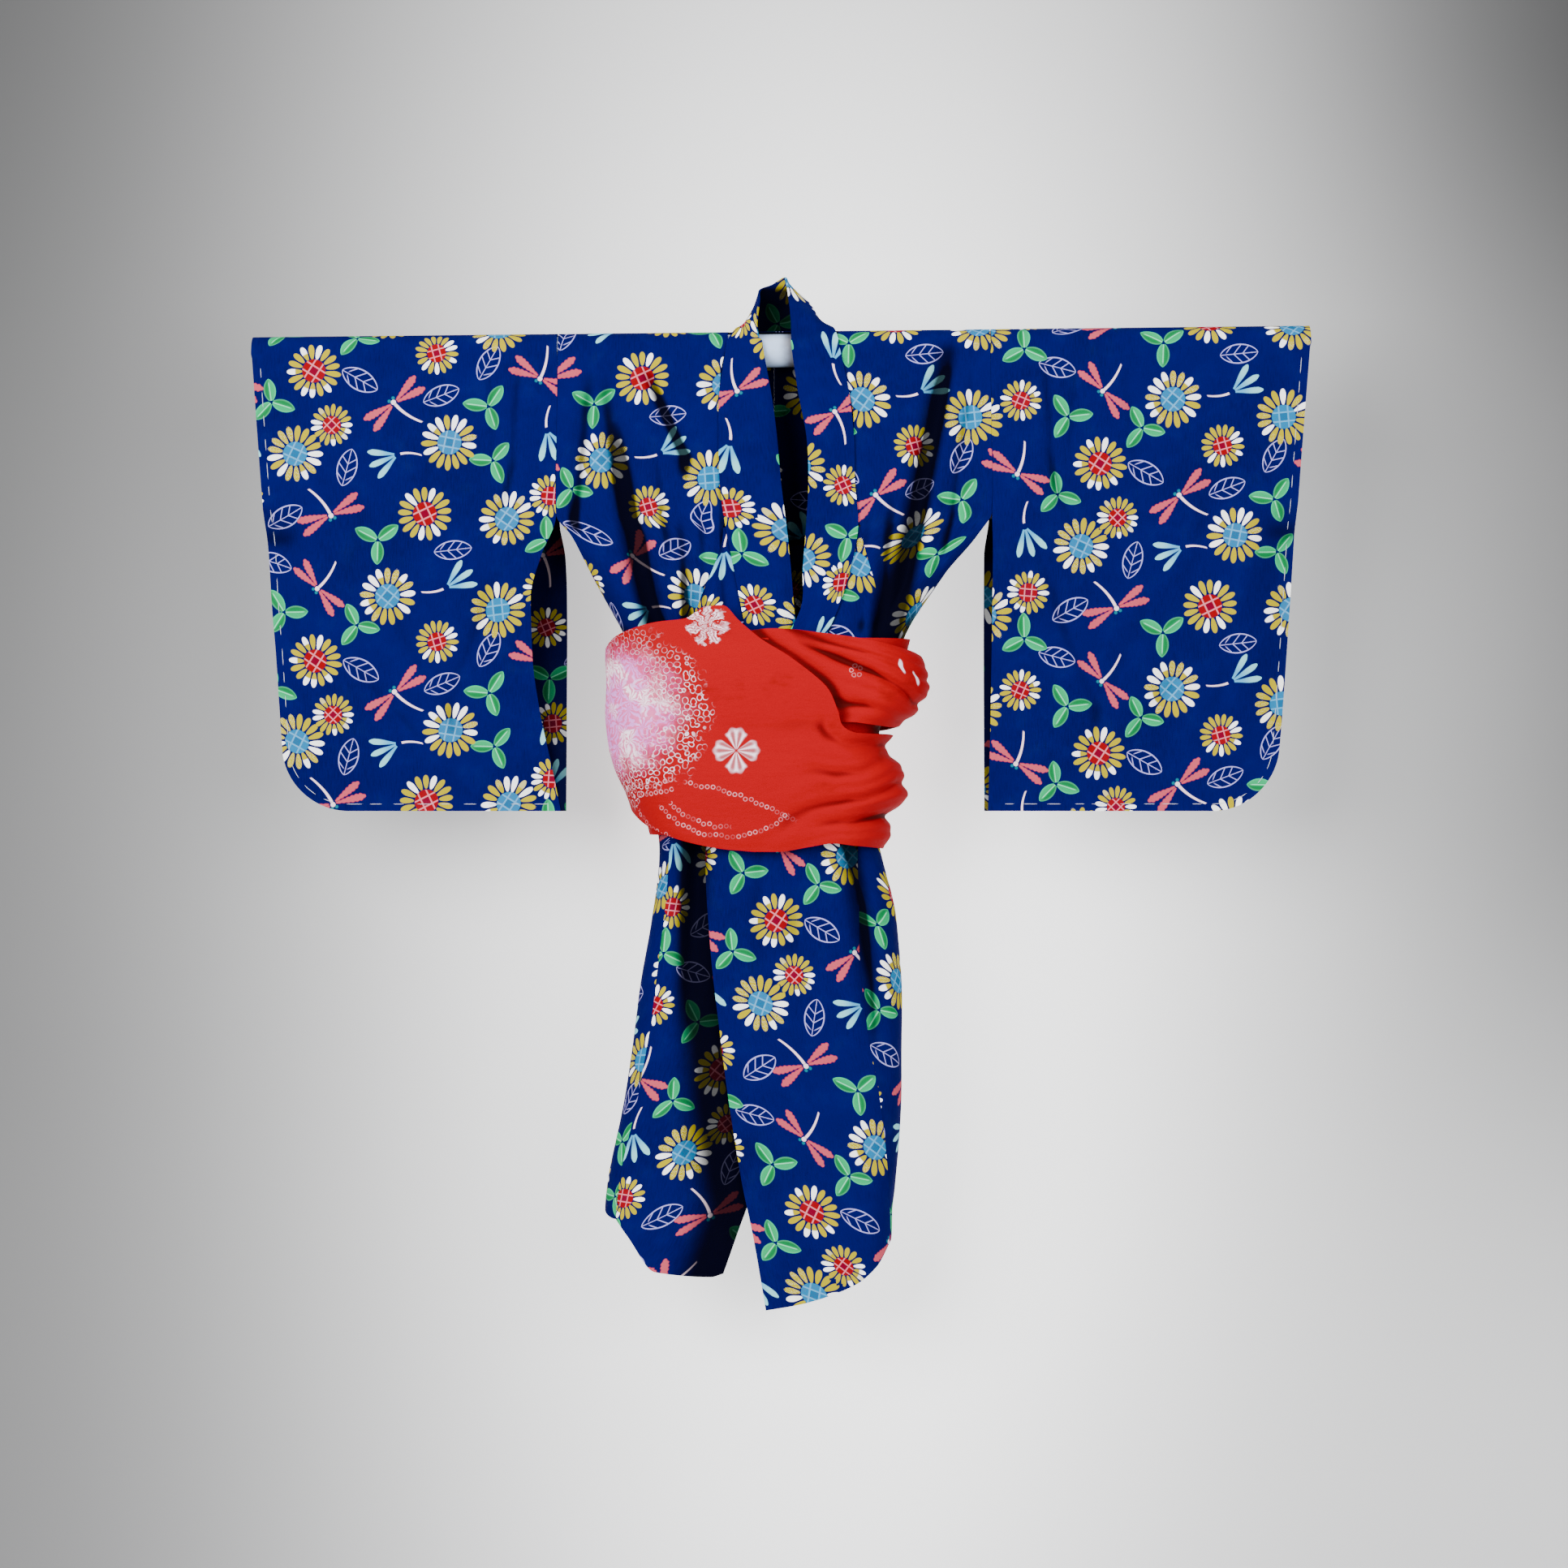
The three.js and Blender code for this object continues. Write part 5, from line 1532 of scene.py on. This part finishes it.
def underWrap():
    # once round its own rings, closed
    look, top, foot = underLook, underRows["z"][-1], underRows["z"][0]

    def pointAt(u, v):
        z = mix(top, foot, v)
        ring = ringAt(underRows, z, form["sashCrown"])
        turn = np.mod(u + 1, 2) - 1
        return onRing(ring, turn * (backArc(ring) + form["seamGap"] / 2), 0, z)

    def clothAt(points, u, v):
        return np.stack([look["middle"] + u * look["girth"] / 2, mix(top, foot, v)], -1)

    around = np.linspace(-1, 1, look["around"] + 1)[:-1]
    piece, _ = wall("sashUnder", pointAt, around, np.linspace(0, 1, look["down"] + 1),
                    form["sashThickness"], clothAt, look["girth"])
    keep(piece, "sash_under", silk)


underWrap()
stretch("sashUpper", "sash_upper", upperStretch, upperSashFolds, 150, 50, 3.3)
stretch("sashFront", "sash_front", frontStretch, frontSashFolds, 220, 90, 7.1)
print("sash made")

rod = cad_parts["rod"]
rod.data.materials.clear()
rod.data.materials.append(rodPaint)


# Basting: loose white running stitches a little in from the sleeves' outer edges and feet.
basting = {
    "dash": 11, "gap": 9, "inset": 6, "radius": 0.25, "proud": 0.22, "stations": 6, "sides": 6,
    "top": -12, "downSteps": 200, "bendSteps": 40, "footSteps": 160, "innerEnd": 0.04, "backStart": 4,
    "uneven": 0.3, "unevenTurn": 2.3, "tip": 0.15,
    "dark": (0.35, 0.37, 0.45, 1), "light": (0.6, 0.62, 0.68, 1), "bump": (0.3, 0.0002),
}


def cottonThread(name):
    # a fine twist, light and dark by turns
    paint = Paint(name)
    twist = paint.noise(paint.stretched(paint.place(), 2.5, 1), 1800, 2)
    colour = paint.blend(twist, basting["dark"], basting["light"])
    return paint.finish(colour, 0.8 + twist * 0.1, twist, *basting["bump"])


def stitchTubes(left, back):
    # along the line inset from the sleeve's edge, stitches as thin tubes: rings of cosine and sine round
    # the line, pulled in at both ends
    look, side = basting, 1 if left else -1
    layer, cornerStart = sleeveLayers[left]
    foot, corner, inset = form["sleeveFoot"], form["sleeveCorner"], look["inset"]
    bend = np.linspace(0, quarterTurn, look["bendSteps"])
    width, arc = corner / (1 - cornerStart), corner - inset
    down = np.linspace(look["top"], foot + corner, look["downSteps"])
    u = np.concatenate([1 - inset / width + 0 * down, cornerStart + arc / width * np.cos(bend),
                        np.linspace(cornerStart, look["innerEnd"], look["footSteps"])])
    z = np.concatenate([down, foot + corner - arc * np.sin(bend), np.full(look["footSteps"], foot + inset)])
    line = layer(u, z, back)
    run = np.concatenate([[0], np.cumsum(np.linalg.norm(np.diff(line, axis=0), axis=-1))])
    starts = np.arange(look["backStart"] if back else 0, run[-1] - look["dash"], look["dash"] + look["gap"])
    uneven = 1 + look["uneven"] * np.sin(np.arange(len(starts)) * look["unevenTurn"] + side)
    share = np.linspace(0, 1, look["stations"])
    where = starts[:, None] + share * look["dash"] * uneven[:, None]
    middle = np.stack([np.interp(where, run, line[:, k]) for k in range(3)], -1)
    ahead = np.gradient(middle, axis=1)
    ahead = ahead / np.linalg.norm(ahead, axis=-1, keepdims=True)
    outward = np.array([0, 1.0 if back else -1.0, 0]) + 0 * ahead
    across = np.cross(ahead, outward)
    middle = middle + outward * look["proud"]
    thick = look["radius"] * np.where((share == 0) | (share == 1), look["tip"], 1.0)[:, None, None]
    turn = np.linspace(0, 2 * math.pi, look["sides"] + 1)[:-1][:, None]
    ring = np.cos(turn) * across[:, :, None] + np.sin(turn) * outward[:, :, None]
    return (middle[:, :, None] + ring * thick).reshape(-1, look["stations"] * look["sides"], 3)


def bastingStitches():
    # every stitch has the same faces: quads between its rings and a cap at each end
    points = np.concatenate([stitchTubes(left, back) for left in (True, False) for back in (False, True)])
    stations, sides = basting["stations"], basting["sides"]
    i, j = np.meshgrid(np.arange(stations - 1), np.arange(sides), indexing="ij")
    here, beside = (i * sides + j).ravel(), (i * sides + (j + 1) % sides).ravel()
    quads = np.stack([here, beside, beside + sides, here + sides], 1)
    ends = [list(range(sides))[::-1], [k + (stations - 1) * sides for k in range(sides)]]
    faces = []
    for base in range(0, len(points) * stations * sides, stations * sides):
        faces += (quads + base).tolist() + [[n + base for n in end] for end in ends]
    mesh = bpy.data.meshes.new("bastingStitches")
    mesh.from_pydata((points.reshape(-1, 3) * toMetres).tolist(), [], faces)
    mesh.materials.append(cottonThread("bastingThread"))
    piece = placed("bastingStitches", mesh)
    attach(piece, "root")


bastingStitches()
print("basting made")

# Camera, backdrop and light.
view = {"centre": (0.0024, -0.02, -0.369), "width": 1.327, "lens": 85.0, "sensor": 36.0}
cameraData = bpy.data.cameras.new("camera")
cameraData.lens = view["lens"]
cameraData.sensor_width = view["sensor"]
camera = placed("camera", cameraData)
distance = view["width"] * view["lens"] / view["sensor"]
camera.location = (view["centre"][0], view["centre"][1] - distance, view["centre"][2])
camera.rotation_euler = (quarterTurn, 0, 0)
bpy.context.scene.camera = camera

# The backdrop's sizes in metres; its glow is painted light, an oval round X and Z with darker ends and one
# dim corner of painted shade.
backdropForm = {"wallY": 0.13, "floorZ": -1.3, "bend": 0.7, "wide": 9.0, "tall": 4.0, "deep": 5.0}
glow = {
    "x": 0.055, "z": -0.46, "wide": 0.42, "tall": 0.93, "middle": 0.95, "shine": 1.5,
    "edge": 0.045, "low": 0.07, "lowZ": (0.5, -0.9), "corner": 0.35, "cornerZ": (-0.35, -1.0),
    "cornerX": (0.1, 0.7), "dim": 0.4, "dimX": (0.25, 0.75), "dimZ": (-0.1, 0.3), "rough": 0.9,
}


def backdropPaper(name):
    # painted light: the colour is bright where exp(-(distance in half sizes) squared) is high, and the
    # middle glows by emission as if lit from behind
    paint = Paint(name)
    x, _, z = paint.split(paint.place())
    near = ((x - glow["x"]) / glow["wide"]) ** 2 + ((z - glow["z"]) / glow["tall"]) ** 2
    bright = paint.maths("EXPONENT", -near)
    low = paint.smooth(z, *glow["lowZ"]) * glow["low"] + glow["edge"]
    low = low + paint.smooth(z, *glow["cornerZ"]) * paint.smooth(x, *glow["cornerX"]) * glow["corner"]
    value = low + bright * (glow["middle"] - low)
    dimmed = paint.smooth(x, *glow["dimX"]) * paint.smooth(z, *glow["dimZ"])
    value = value * (1 - dimmed * glow["dim"])
    shine = paint.grey(bright * bright * glow["shine"])
    # painted light: the glow's middle is emission, not a lamp
    paint.feed(paint.shader.inputs["Emission Color"], shine)
    paint.shader.inputs["Emission Strength"].default_value = 1.0
    return paint.finish(paint.grey(value), glow["rough"])


def backdrop():
    # a wall, a quarter round and a floor: one profile carried across
    b = backdropForm
    turn = np.linspace(0, quarterTurn, 24)
    y = np.concatenate([[b["wallY"]], b["wallY"] - b["bend"] * (1 - np.cos(turn)), [b["wallY"] - b["deep"]]])
    z = np.concatenate([[b["tall"]], b["floorZ"] + b["bend"] * (1 - np.sin(turn)), [b["floorZ"]]])
    x = np.linspace(-b["wide"] / 2, b["wide"] / 2, 2)
    points = np.stack([np.repeat(x, len(y)), np.tile(y, 2), np.tile(z, 2)], 1)
    k = np.arange(len(y) - 1)
    faces = np.stack([k, k + 1, k + 1 + len(y), k + len(y)], 1)
    mesh = bpy.data.meshes.new("backdrop")
    mesh.from_pydata(points.tolist(), [], faces.tolist())
    mesh.polygons.foreach_set("use_smooth", np.ones(len(faces), bool))
    mesh.materials.append(backdropPaper("backdropPaper"))
    placed("backdrop", mesh)


backdrop()

# Each light: its place, what it points at, its size and its power.
lights = {
    "keyLight": ((-1.7, -2.4, 0.5), (0, 0, -0.35), 2.2, 185),
    "fillLight": ((1.6, -2.5, 0.1), (0, 0, -0.4), 2.4, 85),
    "topLight": ((0.2, -0.8, 2.0), (0, 0.1, -0.3), 1.6, 24),
}
skyLight = {"colour": (0.9, 0.92, 1.0, 1), "strength": 0.55}


def areaLight(name, place, aim, size, power):
    # a disc turned about Z, then pitched by the arctangent of its level distance over its height
    data = bpy.data.lights.new(name, "AREA")
    data.shape = "DISK"
    data.size = size
    data.energy = power
    lamp = placed(name, data)
    lamp.location = place
    lamp.visible_camera = False
    direction = np.array(aim) - np.array(place)
    pitch = math.atan2(math.hypot(direction[0], direction[1]), -direction[2])
    lamp.rotation_euler = (pitch, 0, math.atan2(direction[1], direction[0]) - quarterTurn)


for name, values in lights.items():
    areaLight(name, *values)
world = bpy.data.worlds.new("studio")
world.use_nodes = True
background = world.node_tree.nodes["Background"]
background.inputs["Color"].default_value = skyLight["colour"]
background.inputs["Strength"].default_value = skyLight["strength"]
bpy.context.scene.world = world
print("camera, backdrop and light ready")
